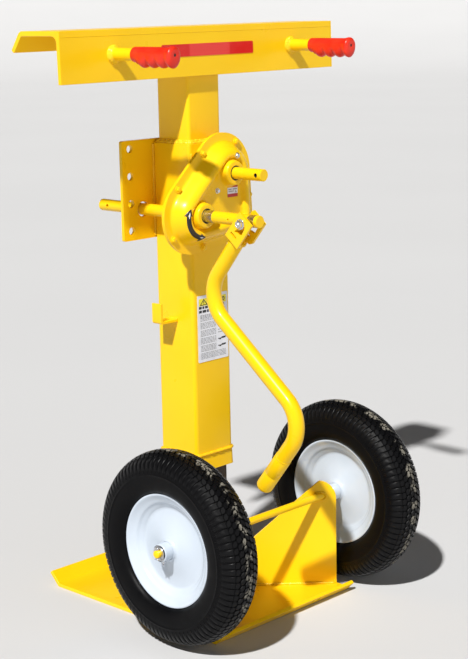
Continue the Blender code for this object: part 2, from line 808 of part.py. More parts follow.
def circle_loop(x, z, teeth, y, radius, phase):
    loop = []
    for a, height in tooth_heights(teeth, SPUR_MODULE):
        loop.append((x + radius * math.cos(a + phase), y, z + radius * math.sin(a + phase)))
    return loop


def spur_gear(name, x, z, teeth, phase, bore, pivot):
    loops = [circle_loop(x, z, teeth, GEAR_Y, bore, phase)]
    loops += spur_rings(x, z, teeth, GEAR_Y, phase)
    loops.append(circle_loop(x, z, teeth, GEAR_Y - GEAR_FACE, bore, phase))
    finish(name, loops_to_bmesh(loops, ring=True), "bare_steel", pivot, smooth=30)


def mesh_phase(x1, z1, phase1, teeth1, x2, z2, teeth2):
    """Phase of gear 2 that puts a gap where gear 1 has a tooth on the line of centres."""
    line = math.atan2(z2 - z1, x2 - x1)
    tooth = (line - phase1) * teeth1 / (2 * math.pi)
    offset = tooth - math.floor(tooth)
    pitch2 = 2 * math.pi / teeth2
    return line + math.pi + (offset + 0.5) * pitch2


def bevel_profile(own, mate):
    """Pitch radius, apex distance and outward normal of a bevel gear's large end."""
    radius = BEVEL_MODULE * own / 2
    reach = BEVEL_MODULE * mate / 2
    length = math.hypot(radius, reach)
    return radius, reach, reach / length, -radius / length


def bevel_loop(own, mate, scale, phase, place):
    radius, reach, out_r, out_a = bevel_profile(own, mate)
    loop = []
    for a, height in tooth_heights(own, BEVEL_MODULE):
        r = (radius + out_r * height) * scale
        along = (reach + out_a * height) * scale
        loop.append(place(r, a + phase, along))
    return loop


def plain_loop(own, radius, along, phase, place):
    return [place(radius, a + phase, along) for a, height in tooth_heights(own, BEVEL_MODULE)]


def screw_bevel_gear(pivot):
    """Large bevel gear on the screw, facing up to the shaft's axis."""
    def place(r, a, along):
        return (r * math.cos(a), r * math.sin(a), OUTPUT_Z - along)
    own, mate = BEVEL_GEAR_TEETH, BEVEL_PINION_TEETH
    phase = -math.pi / 2
    bore = SCREW_NECK_R + GAP
    back = 0.0285
    bottom = OUTPUT_Z - (PLATE_Z + 0.010 + GAP)
    loops = [plain_loop(own, bore, 0.0175, phase, place),
             bevel_loop(own, mate, BEVEL_SCALE, phase, place),
             bevel_loop(own, mate, 1.0, phase, place),
             plain_loop(own, 0.026, back, phase, place),
             plain_loop(own, 0.026, bottom, phase, place),
             plain_loop(own, bore, bottom, phase, place)]
    finish("screw_bevel_gear", loops_to_bmesh(loops, ring=True), "bare_steel", pivot,
           smooth=30)


def lift_screw(pivot):
    profile = ((0, SCREW_R - 0.002), (0.003, SCREW_R),
               (SCREW_COLLAR_Z - SCREW_BOTTOM, SCREW_R),
               (SCREW_COLLAR_Z - SCREW_BOTTOM, 0.030),
               (THRUST_Z - GAP - SCREW_BOTTOM, 0.030),
               (THRUST_Z - GAP - SCREW_BOTTOM, SCREW_NECK_R),
               (SCREW_TOP - SCREW_BOTTOM, SCREW_NECK_R))
    finish("lift_screw", turned(profile, (0, 0, SCREW_BOTTOM), (0, 0, 1), 16), "bare_steel",
           pivot, smooth=30)


def output_shaft(pivot):
    """Output shaft with the bevel pinion cut on its inner end."""
    def place(r, a, along):
        return (OUTPUT_X + r * math.cos(a), -along, OUTPUT_Z + r * math.sin(a))
    own, mate = BEVEL_PINION_TEETH, BEVEL_GEAR_TEETH
    phase = -math.pi / 2 + math.pi / own
    loops = [plain_loop(own, 0.009, 0.0300, phase, place),
             bevel_loop(own, mate, BEVEL_SCALE, phase, place),
             bevel_loop(own, mate, 1.0, phase, place),
             plain_loop(own, 0.0165, 0.0450, phase, place),
             plain_loop(own, 0.0165, 0.0475, phase, place),
             plain_loop(own, SHAFT_R, 0.0475, phase, place),
             plain_loop(own, SHAFT_R, -OUTPUT_END - 0.001, phase, place),
             plain_loop(own, SHAFT_R - 0.001, -OUTPUT_END, phase, place)]
    item = finish("output_shaft", loops_to_bmesh(loops), "yellow", pivot, smooth=30)
    hole = cylinder((-0.03, -0.203, OUTPUT_Z), (0.03, -0.203, OUTPUT_Z), 0.0047, 16)
    cut(item, hole, "output_pin_hole")


def input_shaft(pivot):
    """Input shaft with its sliding pinion, shown out of mesh."""
    teeth = PINION_TEETH

    def ring(radius, y):
        return circle_loop(INPUT_X, INPUT_Z, teeth, y, radius, 0.0)

    loops = [ring(SHAFT_R - 0.001, INPUT_REAR), ring(SHAFT_R, INPUT_REAR - 0.001),
             ring(SHAFT_R, PINION_Y)]
    loops += spur_rings(INPUT_X, INPUT_Z, teeth, PINION_Y, 0.0)
    loops += [ring(SHAFT_R, PINION_Y - GEAR_FACE), ring(SHAFT_R, INPUT_FRONT + 0.001),
              ring(SHAFT_R - 0.001, INPUT_FRONT)]
    item = finish("input_shaft", loops_to_bmesh(loops), "yellow", pivot, smooth=30)
    for y, z, r, name in ((BOLT_Y, BOLT_Z, BOLT_R + 0.0005, "yoke_bolt_hole"),
                          (-0.2075, INPUT_Z, 0.002, "cotter_hole"),
                          (0.158, INPUT_Z, 0.004, "rear_pin_hole")):
        hole = cylinder((INPUT_X - 0.03, y, z), (INPUT_X + 0.03, y, z), r, 16)
        cut(item, hole, name)


# ---------------------------------------------------------------- crank

YOKE_LEAN = math.radians(40)
YOKE_START = -0.017
YOKE_FLOOR = 0.041
YOKE_END = 0.047
YOKE_EDGES = (-0.0175, 0.0236)
YOKE_WINDOW = ((-0.0060, 0.0105), (0.0040, 0.0085), (0.0105, 0.0005), (0.0255, -0.0045),
               (0.0206, 0.0046), (0.0187, 0.0138), (0.0145, 0.0157), (0.0017, 0.0143))
YOKE_SLOT = ((0.0295, -0.0100), (0.0350, -0.0100), (0.0350, 0.0092), (0.0295, 0.0092))


def crank_point(along, across):
    """(y, z) of a point given along the yoke and across it, from the yoke's bolt."""
    s, c = math.sin(YOKE_LEAN), math.cos(YOKE_LEAN)
    return (BOLT_Y + along * s - across * c, BOLT_Z - along * c - across * s)


def crank_yoke(pivot):
    inner = EAR_GAP_HALF
    outer = EAR_GAP_HALF + EAR_THICK
    outline = ((-outer, YOKE_START), (-inner, YOKE_START), (-inner, YOKE_FLOOR),
               (inner, YOKE_FLOOR), (inner, YOKE_START), (outer, YOKE_START),
               (outer, YOKE_END), (-outer, YOKE_END))
    loops = []
    for across in YOKE_EDGES:
        loop = []
        for x, along in outline:
            y, z = crank_point(along, across)
            loop.append((INPUT_X + x, y, z))
        loops.append(loop)
    item = finish("crank_yoke", loops_to_bmesh(loops), "yellow", pivot)
    hole = cylinder((INPUT_X - 0.03, BOLT_Y, BOLT_Z), (INPUT_X + 0.03, BOLT_Y, BOLT_Z),
                    BOLT_R + GAP, 16)
    cut(item, hole, "yoke_bolt_bore")
    for shape, name in ((YOKE_WINDOW, "yoke_window"), (YOKE_SLOT, "yoke_slot")):
        opening = [crank_point(*point) for point in shape]
        cut(item, prism(opening, "X", INPUT_X - 0.03, INPUT_X + 0.03), name)


def tube_start():
    first = Vector(CRANK_BENDS[0]) - Vector((BOLT_Y, BOLT_Z))
    return Vector((BOLT_Y, BOLT_Z)) + first.normalized() * 0.0485


def crank_handle(pivot):
    tip = Vector(CRANK_TIP)
    last = (tip - Vector(CRANK_BENDS[1])).normalized()
    shoulder = tip - last * GRIP_LEN
    end = tip - last * 0.007
    points = [tube_start(), CRANK_BENDS[0], CRANK_BENDS[1], shoulder]
    path = bent_path(points, (0.069, 0.0695))
    radii = [CRANK_R] * len(path)
    path += [shoulder + last * 0.0001, end]
    radii += [GRIP_ROD_R, GRIP_ROD_R]
    rod = swept_rod(path, INPUT_X, radii)
    finish("crank_handle", rod, "yellow", pivot, smooth=40)


def yoke_bolt(pivot):
    ear = EAR_GAP_HALF + EAR_THICK + GAP
    half = ((0, BOLT_R), (ear, BOLT_R), (ear, 0.0110), (ear + 0.002, 0.0110),
            (ear + 0.002, 0.0090), (ear + 0.0085, 0.0090), (ear + 0.0095, 0.0075))
    profile = [(-x, r) for x, r in reversed(half)] + list(half[1:])
    bolt = turned(profile, (INPUT_X, BOLT_Y, BOLT_Z), (1, 0, 0), 12)
    finish("yoke_bolt", bolt, "zinc", pivot, smooth=30)


def crank_grip(pivot, tip, last):
    bore = GRIP_ROD_R + 0.0005
    start = -GRIP_LEN + 0.0006
    profile = ((-0.0064, bore), (start, bore), (start, 0.0172), (start + 0.001, GRIP_SLEEVE_R),
               (-0.048, GRIP_SLEEVE_R), (-0.047, 0.0172), (-0.046, GRIP_SLEEVE_R),
               (-0.011, GRIP_SLEEVE_R), (-0.005, 0.0160), (-0.0015, 0.0125), (0.0, 0.0070))
    sleeve = turned(profile, tip, last, 16)
    finish("crank_grip", sleeve, "yellow", pivot, smooth=40)


def crank(input_pivot):
    place = (INPUT_X, BOLT_Y, BOLT_Z)
    fold = empty("crank_fold_axis", place)
    crank_yoke(fold)
    crank_handle(fold)
    yoke_bolt(fold)
    tip = Vector((INPUT_X, *CRANK_TIP))
    bend = Vector((INPUT_X, *CRANK_BENDS[1]))
    grip_axis = empty("crank_grip_axis", tip)
    crank_grip(grip_axis, tip, tip - bend)


def build_base():
    base_plate()
    front_gusset("gusset_front_left", -1)
    front_gusset("gusset_front_right", 1)
    rear_gusset("gusset_rear_left", -1)
    rear_gusset("gusset_rear_right", 1)
    inner_leg()
    lift_nut()
    wheel_axle()
    axle_washer("axle_washer_left", -1)
    axle_washer("axle_washer_right", 1)
    wheel("left", -1)
    wheel("right", 1)


def build_column():
    column = empty("column_axis", (0, 0, 0))
    outer_tube(column)
    foot_collar(column)
    upper_post(column)
    beam(column)
    for name, side in (("left", -1), ("right", 1)):
        handle("handle_" + name, side, column)
        hand_grip("grip_" + name, side, column)
    reflective_tape(column)
    mounting_flange(column)
    crank_hook(column)
    warning_label(column)
    gearbox_case(column)
    gearbox_cover(column)
    cover_bolts(column)
    seal_screws(column)
    bush("output_bush", OUTPUT_X, OUTPUT_Z, -0.126, BOSS_Y - 0.001, column)
    bush("input_bush_front", INPUT_X, INPUT_Z, -0.126, BOSS_Y - 0.001, column)
    bush("input_bush_rear", INPUT_X, INPUT_Z, -0.052, -0.066, column)
    idler_pin(column)
    bearing_plate(column)
    thrust_bearing(column)
    gear_decal(column)


def build_mechanism():
    screw = empty("screw_axis", (0, 0, PLATE_Z))
    lift_screw(screw)
    screw_bevel_gear(screw)
    output = empty("output_axis", (OUTPUT_X, COVER_Y, OUTPUT_Z))
    output_shaft(output)
    spur_gear("output_gear", OUTPUT_X, OUTPUT_Z, OUTPUT_TEETH, 0.0, SHAFT_R + GAP, output)
    x, z = idler_centre()
    idler = empty("idler_axis", (x, COVER_Y, z))
    phase = mesh_phase(OUTPUT_X, OUTPUT_Z, 0.0, OUTPUT_TEETH, x, z, IDLER_TEETH)
    spur_gear("idler_gear", x, z, IDLER_TEETH, phase, 0.0083, idler)
    drive = empty("input_axis", (INPUT_X, COVER_Y, INPUT_Z))
    input_shaft(drive)
    crank(drive)


clear_scene()
build_base()
build_column()
build_mechanism()
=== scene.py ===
"""Looks of the wheeled trailer stabilizing jack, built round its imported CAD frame.

Metres, +Z up, -Y is the front. Every piece rides on the CAD body it belongs to.
"""

import math
import random

import bmesh
import bpy
from mathutils import Matrix, Vector
from mathutils.bvhtree import BVHTree
from mathutils.geometry import delaunay_2d_cdt


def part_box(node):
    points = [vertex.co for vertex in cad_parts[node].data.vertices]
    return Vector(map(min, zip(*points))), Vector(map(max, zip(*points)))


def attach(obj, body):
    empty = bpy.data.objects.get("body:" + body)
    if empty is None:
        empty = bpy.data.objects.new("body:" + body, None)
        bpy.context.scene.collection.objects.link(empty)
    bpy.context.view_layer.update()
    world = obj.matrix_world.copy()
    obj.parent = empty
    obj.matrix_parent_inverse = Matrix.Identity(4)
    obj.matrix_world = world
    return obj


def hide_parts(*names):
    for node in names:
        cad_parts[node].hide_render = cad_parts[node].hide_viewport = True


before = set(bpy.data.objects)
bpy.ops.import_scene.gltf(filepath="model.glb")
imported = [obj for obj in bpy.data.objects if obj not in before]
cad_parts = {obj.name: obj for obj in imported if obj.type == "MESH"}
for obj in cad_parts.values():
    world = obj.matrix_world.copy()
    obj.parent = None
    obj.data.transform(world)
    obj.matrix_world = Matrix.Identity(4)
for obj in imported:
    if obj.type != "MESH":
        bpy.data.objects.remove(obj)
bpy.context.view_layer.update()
X, Y, Z = Vector((1, 0, 0)), Vector((0, 1, 0)), Vector((0, 0, 1))


# ---------------------------------------------------------------- materials

class Look:
    """A procedural material; its textures use the piece's own coordinates."""

    def __init__(self, name, **sockets):
        self.mat = bpy.data.materials.new(name)
        self.mat.use_nodes = True
        self.tree = self.mat.node_tree
        self.shader = self.tree.nodes["Principled BSDF"]
        for key, value in sockets.items():
            self.shader.inputs[key.replace("_", " ")].default_value = value
        self.place = self.add("ShaderNodeTexCoord").outputs["Object"]

    def add(self, kind, inputs=None, **settings):
        node = self.tree.nodes.new(kind)
        for key, value in settings.items():
            setattr(node, key, value)
        for key, value in (inputs or {}).items():
            if isinstance(value, bpy.types.NodeSocket):
                self.tree.links.new(value, node.inputs[key])
            else:
                node.inputs[key].default_value = value
        return node

    def noise(self, scale, detail=2.0, roughness=0.5, stretch=None):
        vector = self.place
        if stretch:
            vector = self.add("ShaderNodeMapping", {"Vector": vector, "Scale": stretch}).outputs[0]
        values = {"Vector": vector, "Scale": scale, "Detail": detail, "Roughness": roughness}
        return self.add("ShaderNodeTexNoise", values).outputs["Fac"]

    def remap(self, value, low, high, to_low=0.0, to_high=1.0):
        values = {"Value": value, "From Min": low, "From Max": high, "To Min": to_low,
                  "To Max": to_high}
        return self.add("ShaderNodeMapRange", values).outputs["Result"]

    def multiply(self, a, b):
        return self.add("ShaderNodeMath", {0: a, 1: b}, operation="MULTIPLY").outputs[0]

    def vector(self, operation, a, b=(0.0, 0.0, 0.0)):
        return self.add("ShaderNodeVectorMath", {0: a, 1: b}, operation=operation).outputs

    def mix(self, factor, a, b):
        colours = [value if isinstance(value, bpy.types.NodeSocket) else (*value, 1.0)
                   for value in (a, b)]
        values = {0: factor, 6: colours[0], 7: colours[1]}
        return self.add("ShaderNodeMix", values, data_type="RGBA").outputs[2]

    def colour(self, value):
        self.tree.links.new(value, self.shader.inputs["Base Color"])

    def rough(self, value, to_low, to_high, low=0.3, high=0.7):
        gloss = self.remap(value, low, high, to_low, to_high)
        self.tree.links.new(gloss, self.shader.inputs["Roughness"])

    def bump(self, height, strength, distance, under=None):
        """Makes a bump the surface's normal, over an earlier bump if there is one."""
        values = {"Height": height, "Strength": strength, "Distance": distance}
        if under:
            values["Normal"] = under
        normal = self.add("ShaderNodeBump", values).outputs["Normal"]
        self.tree.links.new(normal, self.shader.inputs["Normal"])
        return normal


def paint_look(name, colour, deep, orange_peel=0.10):
    """Glossy brushed-on enamel: slight shade changes, orange peel and dull scuffs."""
    look = Look(name, Coat_Weight=0.12, Coat_Roughness=0.15, Specular_IOR_Level=0.40,
                Specular_Tint=(1.0, 0.84, 0.45, 1.0))
    base = look.mix(look.remap(look.noise(5.0, 3.0), 0.35, 0.65), deep, colour)
    scuff = look.remap(look.noise(26.0, 5.0, 0.6, (1.0, 1.0, 0.35)), 0.66, 0.74, 0.0, 0.18)
    look.colour(look.mix(scuff, base, tuple(c * 0.84 for c in deep)))
    look.rough(look.noise(14.0, 3.0), 0.26, 0.38)
    waves = look.bump(look.noise(34.0), 0.10, 0.0012)
    look.bump(look.noise(330.0), orange_peel, 0.0004, waves)
    return look.mat


def metal_look(name, dark, light, roughness, metallic=1.0, stretch=(1.0, 1.0, 1.0), grain=160.0):
    """Bare or plated metal with drawn grain and darker oily patches."""
    look = Look(name, Metallic=metallic)
    look.colour(look.mix(look.remap(look.noise(22.0, 4.0, 0.6), 0.35, 0.65), dark, light))
    lines = look.noise(grain, 3.0, 0.6, stretch)
    look.rough(lines, roughness - 0.08, roughness + 0.12)
    look.bump(lines, 0.12, 0.0003)
    return look.mat


def rubber_look(name):
    """Black tyre rubber: fine grain, faint haze and specks of yard dust."""
    look = Look(name, Specular_IOR_Level=0.09)
    haze = look.remap(look.noise(9.0, 4.0, 0.6), 0.45, 0.75, 0.0, 0.30)
    base = look.mix(haze, (0.0022, 0.0022, 0.0027), (0.0065, 0.0062, 0.0062))
    speck = look.remap(look.noise(420.0), 0.68, 0.80, 0.0, 0.20)
    look.colour(look.mix(speck, base, (0.07, 0.066, 0.060)))
    look.rough(look.noise(60.0, 3.0), 0.36, 0.50)
    look.bump(look.noise(700.0), 0.18, 0.0004)
    return look.mat


def tread_look(name):
    """Tread rubber whose outermost faces carry worn-in grey dust."""
    look = Look(name, Specular_IOR_Level=0.16)
    low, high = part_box("wheel_axle")
    moved = look.vector("SUBTRACT", look.place, (low + high) / 2)[0]
    flat = look.vector("MULTIPLY", moved, (0.0, 1.0, 1.0))[0]
    radius = look.vector("LENGTH", flat)["Value"]
    crown = look.remap(radius, 0.2017, 0.2027)
    blobs = look.remap(look.noise(44.0, 1.0), 0.47, 0.54)
    fine = look.remap(look.noise(210.0, 4.0, 0.65), 0.38, 0.52)
    dust = look.multiply(crown, look.multiply(blobs, fine))
    look.colour(look.mix(dust, (0.0030, 0.0030, 0.0035), (0.22, 0.205, 0.17)))
    look.rough(dust, 0.36, 0.85, 0.0, 1.0)
    look.bump(look.noise(600.0, 3.0), 0.25, 0.0004)
    return look.mat


def enamel_look(name):
    """White baked enamel on the pressed rims."""
    look = Look(name, Coat_Weight=0.4, Coat_Roughness=0.06)
    shade = look.remap(look.noise(12.0, 3.0), 0.3, 0.7)
    base = look.mix(shade, (0.51, 0.575, 0.655), (0.55, 0.61, 0.69))
    speck = look.remap(look.noise(150.0, 4.0, 0.7), 0.70, 0.78, 0.0, 0.35)
    look.colour(look.mix(speck, base, (0.55, 0.54, 0.50)))
    look.rough(look.noise(30.0), 0.16, 0.26)
    look.bump(look.noise(70.0), 0.05, 0.0006)
    return look.mat


def vinyl_look(name):
    """Dipped red vinyl with a soft uneven gloss."""
    look = Look(name, Coat_Weight=0.10, Coat_Roughness=0.20, Subsurface_Weight=0.06,
                Subsurface_Radius=(0.004, 0.001, 0.001), Specular_IOR_Level=0.36)
    shade = look.remap(look.noise(40.0, 3.0), 0.3, 0.7)
    look.colour(look.mix(shade, (0.66, 0.018, 0.006), (0.82, 0.035, 0.012)))
    look.rough(look.noise(90.0, 3.0), 0.28, 0.42)
    look.bump(look.noise(220.0, 3.0), 0.16, 0.0005)
    return look.mat


def tape_look(name):
    """Retroreflective tape: red with a fine diamond weave; its paler middle stretch is painted
    sheen.
    """
    look = Look(name, Coat_Weight=0.15, Coat_Roughness=0.12, Specular_IOR_Level=0.25)
    x = look.add("ShaderNodeSeparateXYZ", {"Vector": look.place}).outputs["X"]
    # paler middle stretch along x: painted sheen of the tape's glare
    pale = look.multiply(look.remap(x, -0.052, -0.050), look.remap(x, 0.066, 0.068, 1.0, 0.0))
    base = look.mix(pale, (0.64, 0.010, 0.008), (0.74, 0.046, 0.038))
    weave = []
    for turn in (45, -45):
        values = {"Vector": look.place, "Rotation": (0.0, math.radians(turn), 0.0)}
        place = look.add("ShaderNodeMapping", values).outputs[0]
        wave = look.add("ShaderNodeTexWave", {"Vector": place, "Scale": 70.0},
                        bands_direction="X")
        weave.append(wave.outputs["Fac"])
    cells = look.multiply(*weave)
    mottle = look.remap(look.noise(90.0, 4.0, 0.7), 0.35, 0.65)
    fine = look.remap(look.multiply(cells, mottle), 0.0, 0.8, 0.0, 0.45)
    look.colour(look.mix(fine, base, (0.80, 0.09, 0.06)))
    look.rough(cells, 0.20, 0.40, 0.0, 1.0)
    look.bump(cells, 0.10, 0.0003)
    return look.mat


def print_look(name, colour, roughness=0.42):
    """Printed film, slightly uneven."""
    look = Look(name, Coat_Weight=0.15, Coat_Roughness=0.25)
    shade = look.remap(look.noise(60.0, 3.0), 0.35, 0.65)
    look.colour(look.mix(shade, tuple(c * 0.90 for c in colour), colour))
    look.rough(look.noise(140.0), roughness - 0.06, roughness + 0.08)
    look.bump(look.noise(300.0), 0.05, 0.0003)
    return look.mat


YELLOW = paint_look("yellow_paint", (0.94, 0.590, 0.006), (0.92, 0.555, 0.004))
WELD = paint_look("painted_weld", (0.94, 0.60, 0.020), (0.86, 0.49, 0.008), 0.25)
STEEL = metal_look("mill_steel", (0.055, 0.045, 0.040), (0.125, 0.105, 0.092), 0.42, 0.75,
                   (3.0, 3.0, 0.15))
GEAR_STEEL = metal_look("oiled_gear_steel", (0.16, 0.15, 0.14), (0.32, 0.31, 0.30), 0.34)
BRIGHT = metal_look("turned_steel", (0.44, 0.43, 0.42), (0.72, 0.71, 0.70), 0.26, 1.0,
                    (1.0, 6.0, 1.0), 220.0)
ZINC = metal_look("zinc_plate", (0.52, 0.53, 0.55), (0.74, 0.75, 0.78), 0.24)
BRONZE = metal_look("bronze", (0.30, 0.18, 0.07), (0.46, 0.30, 0.12), 0.36)
RUBBER = rubber_look("tyre_rubber")
TREAD = tread_look("tread_rubber")
WHITE = enamel_look("white_enamel")
VINYL = vinyl_look("red_vinyl")
TAPE = tape_look("reflective_tape_red")
PAPER = print_look("label_white", (0.80, 0.82, 0.88))
INK = print_look("ink_black", (0.012, 0.012, 0.014))
INK_GREY = print_look("ink_grey", (0.30, 0.31, 0.34))
INK_YELLOW = print_look("ink_yellow", (0.88, 0.78, 0.02))
INK_RED = print_look("ink_red", (0.50, 0.015, 0.012))
SEAL = print_look("seal_rubber", (0.015, 0.013, 0.012), 0.55)


# ---------------------------------------------------------------- mesh helpers

def piece(name, bm, look, body, node=None, smooth=40, edge=0.0):
    """A finished mesh that rides on a body and may stand for a CAD node."""
    bmesh.ops.recalc_face_normals(bm, faces=bm.faces)
    mesh = bpy.data.meshes.new(name)
    bm.to_mesh(mesh)
    bm.free()
    obj = bpy.data.objects.new(name, mesh)
    bpy.context.scene.collection.objects.link(obj)
    mesh.materials.append(look)
    mesh.shade_smooth()
    if edge:
        bevel = obj.modifiers.new("edge", "BEVEL")
        bevel.width = edge
        bevel.segments = 2
        bevel.limit_method = "ANGLE"
        bevel.angle_limit = math.radians(35)
        bevel.harden_normals = True
    else:
        mesh.set_sharp_from_angle(angle=math.radians(smooth))
    if body:
        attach(obj, body)
    if node:
        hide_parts(node)
    return obj


def painted(name, bm, body, node=None, smooth=40, edge=0.0):
    return piece(name, bm, YELLOW, body, node, smooth, edge)


def carve(obj, cutters):
    """Cuts shapes out of a piece for good, and keeps its edges crisp."""
    tools = []
    for index, bm in enumerate(cutters):
        tools.append(piece("tool_%d" % index, bm, obj.data.materials[0], None))
        change = obj.modifiers.new("cut_%d" % index, "BOOLEAN")
        change.operation = "DIFFERENCE"
        change.solver = "EXACT"
        change.object = tools[-1]
    bpy.context.view_layer.update()
    shape = bpy.data.meshes.new_from_object(
        obj.evaluated_get(bpy.context.evaluated_depsgraph_get()))
    obj.modifiers.clear()
    for tool in tools:
        bpy.data.objects.remove(tool)
    obj.data = shape
    shape.shade_smooth()
    shape.set_sharp_from_angle(angle=math.radians(35))


def mm(*points):
    """Points given in millimetres, in metres."""
    return [tuple(value / 1000 for value in point) for point in points]


def skin(loops, ring=False, bm=None):
    """Joins equal vertex loops; ring joins the last loop to the first."""
    if bm is None:
        bm = bmesh.new()
    rows = [[bm.verts.new(point) for point in loop] for loop in loops]
    count = len(rows[0])
    for first, second in zip(rows, rows[1:] + rows[:1] if ring else rows[1:]):
        for i in range(count):
            j = (i + 1) % count
            bm.faces.new((first[i], first[j], second[j], second[i]))
    if not ring:
        bm.faces.new(rows[0][::-1])
        bm.faces.new(rows[-1])
    return bm


def merged(*shapes):
    """One bmesh holding several closed shapes."""
    whole = bmesh.new()
    for bm in shapes:
        mesh = bpy.data.meshes.new("part")
        bm.to_mesh(mesh)
        bm.free()
        whole.from_mesh(mesh)
        bpy.data.meshes.remove(mesh)
    return whole


def circle(centre, side, other, radius, count):
    """Points round a circle in the plane of side and other."""
    turns = [2 * math.pi * k / count for k in range(count)]
    return [centre + (side * math.cos(a) + other * math.sin(a)) * radius for a in turns]


def turned(profile, centre, direction, segments=64, ring=False):
    """Turns (along, radius) points about an axis through centre."""
    direction = Vector(direction).normalized()
    side = Z if abs(direction.z) < 0.9 else X
    side = (side - direction * side.dot(direction)).normalized()
    other = direction.cross(side)
    return skin([circle(Vector(centre) + direction * along, side, other, radius, segments)
                 for along, radius in profile], ring)


def rod(start, end, radius, chamfer=0.0, segments=32):
    line = Vector(end) - Vector(start)
    profile = [(0, radius), (line.length, radius)]
    if chamfer:
        profile = [(0, radius - chamfer), (chamfer, radius), (line.length - chamfer, radius),
                   (line.length, radius - chamfer)]
    return turned(profile, start, line, segments)


def tube_ring(start, end, inner, outer, chamfer=0.0004, segments=48):
    line = Vector(end) - Vector(start)
    length = line.length
    profile = [(0, inner), (0, outer - chamfer), (chamfer, outer), (length - chamfer, outer),
               (length, outer - chamfer), (length, inner)]
    return turned(profile, start, line, segments, ring=True)


def prism(outline, axis, low, high):
    """Straight bar of an outline in the plane across the X or Y axis."""
    place = {"X": lambda p, w: (w, *p), "Y": lambda p, w: (p[0], w, p[1])}[axis]
    return skin([[place(p, w) for p in outline] for w in (low, high)])


def arc(cx, cy, radius, start, end, steps):
    points = []
    for i in range(steps + 1):
        a = math.radians(start + (end - start) * i / steps)
        points.append((cx + radius * math.cos(a), cy + radius * math.sin(a)))
    return points


def fillet(before, here, after, radius, steps):
    """Points of the arc that rounds a corner of a path in a plane."""
    back = (before - here).normalized()
    ahead = (after - here).normalized()
    half = back.angle(ahead) / 2
    centre = here + (back + ahead).normalized() * (radius / math.sin(half))
    first = here + back * (radius / math.tan(half)) - centre
    last = here + ahead * (radius / math.tan(half)) - centre
    sweep = first.angle_signed(last)
    return [centre + Matrix.Rotation(-sweep * k / steps, 2) @ first for k in range(steps + 1)]


def rounded(points, radii, steps=8):
    """A closed outline with each corner rounded by its own radius."""
    points = [Vector(p) for p in points]
    outline = []
    for i, radius in enumerate(radii):
        after = points[(i + 1) % len(points)]
        outline += (fillet(points[i - 1], points[i], after, radius, steps) if radius
                    else [points[i]])
    return [tuple(p) for p in outline]


def rect(u0, v0, u1, v1):
    return [(u0, v0), (u1, v0), (u1, v1), (u0, v1)]


def square(half, radius, steps=6):
    """Rounded square as (x, y) points."""
    corners = ((half, half), (-half, half), (-half, -half), (half, -half))
    return rounded(corners, [radius] * 4, steps)


def square_loop(half, radius, z):
    return [Vector((x, y, z)) for x, y in square(half, radius)]


def square_tube(levels, inner, inner_radius=0.004):
    """Square tube from outer (z, half width, corner radius) levels and one bore."""
    loops = [square_loop(half, radius, z) for z, half, radius in levels]
    loops += [square_loop(inner, inner_radius, z) for z in (levels[-1][0], levels[0][0])]
    return skin(loops, ring=True)


def thicken(bm, shift):
    """Extrudes a sheet into a closed plate."""
    made = bmesh.ops.extrude_face_region(bm, geom=list(bm.faces))
    moved = [v for v in made["geom"] if isinstance(v, bmesh.types.BMVert)]
    bmesh.ops.translate(bm, vec=shift, verts=moved)
    return bm


def plate(outline, holes, place, low, high):
    """Flat plate with holes; place(u, v, w) gives a point of the plate."""
    bm = bmesh.new()
    edges = []
    for loop in [outline] + list(holes):
        verts = [bm.verts.new(place(u, v, low)) for u, v in loop]
        edges += [bm.edges.new(pair) for pair in zip(verts, verts[1:] + verts[:1])]
    bmesh.ops.triangle_fill(bm, use_beauty=True, edges=edges)
    return thicken(bm, Vector(place(0, 0, high)) - Vector(place(0, 0, low)))


def swept(path, radii, segments=20, closed=False):
    """Round rod along a path of points, with a radius for each."""
    loops = []
    side = None
    for i, point in enumerate(path):
        before = path[i - 1] if closed or i else path[0]
        after = path[(i + 1) % len(path)] if closed or i + 1 < len(path) else path[-1]
        along = (after - before).normalized()
        if side is None:
            side = along.orthogonal().normalized()
        side = (side - along * side.dot(along)).normalized()
        loops.append(circle(point, side, along.cross(side), radii[i], segments))
    return skin(loops, ring=closed)


def resampled(points, step, closed):
    """Points at an even spacing along a path."""
    ends = points + points[:1] if closed else points
    spans = [(b - a).length for a, b in zip(ends, ends[1:])]
    total = sum(spans)
    count = max(3, round(total / step))
    out = []
    index = 0
    passed = 0.0
    for k in range(count if closed else count + 1):
        want = min(total * k / count, total - 1e-9)
        while passed + spans[index] < want:
            passed += spans[index]
            index += 1
        share = (want - passed) / spans[index]
        out.append(ends[index].lerp(ends[index + 1], share))
    return out


def weld(path, size, closed=False, seed=1, uneven=0.12):
    """Weld bead: overlapping ripples of slightly uneven size along a path."""
    chance = random.Random(seed)
    points = resampled([Vector(p) for p in path], 0.0011, closed)
    ripple = 4
    radii = []
    for i in range(len(points)):
        if i % ripple == 0:
            drift = 1.0 + chance.uniform(-uneven, uneven)
        radii.append(size * drift * (0.86 + 0.20 * (i % ripple) / ripple))
    if not closed:
        radii[0] = radii[-1] = size * 0.45
    return swept(points, radii, 8, closed)


def weld_piece(name, beads, body="column"):
    return piece(name, merged(*beads), WELD, body, smooth=75)


# ---------------------------------------------------------------- base

AXLE_LOW, AXLE_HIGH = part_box("wheel_axle")
AXLE = (AXLE_LOW + AXLE_HIGH) / 2
AXLE_R = 0.008
EDGE = 0.0009


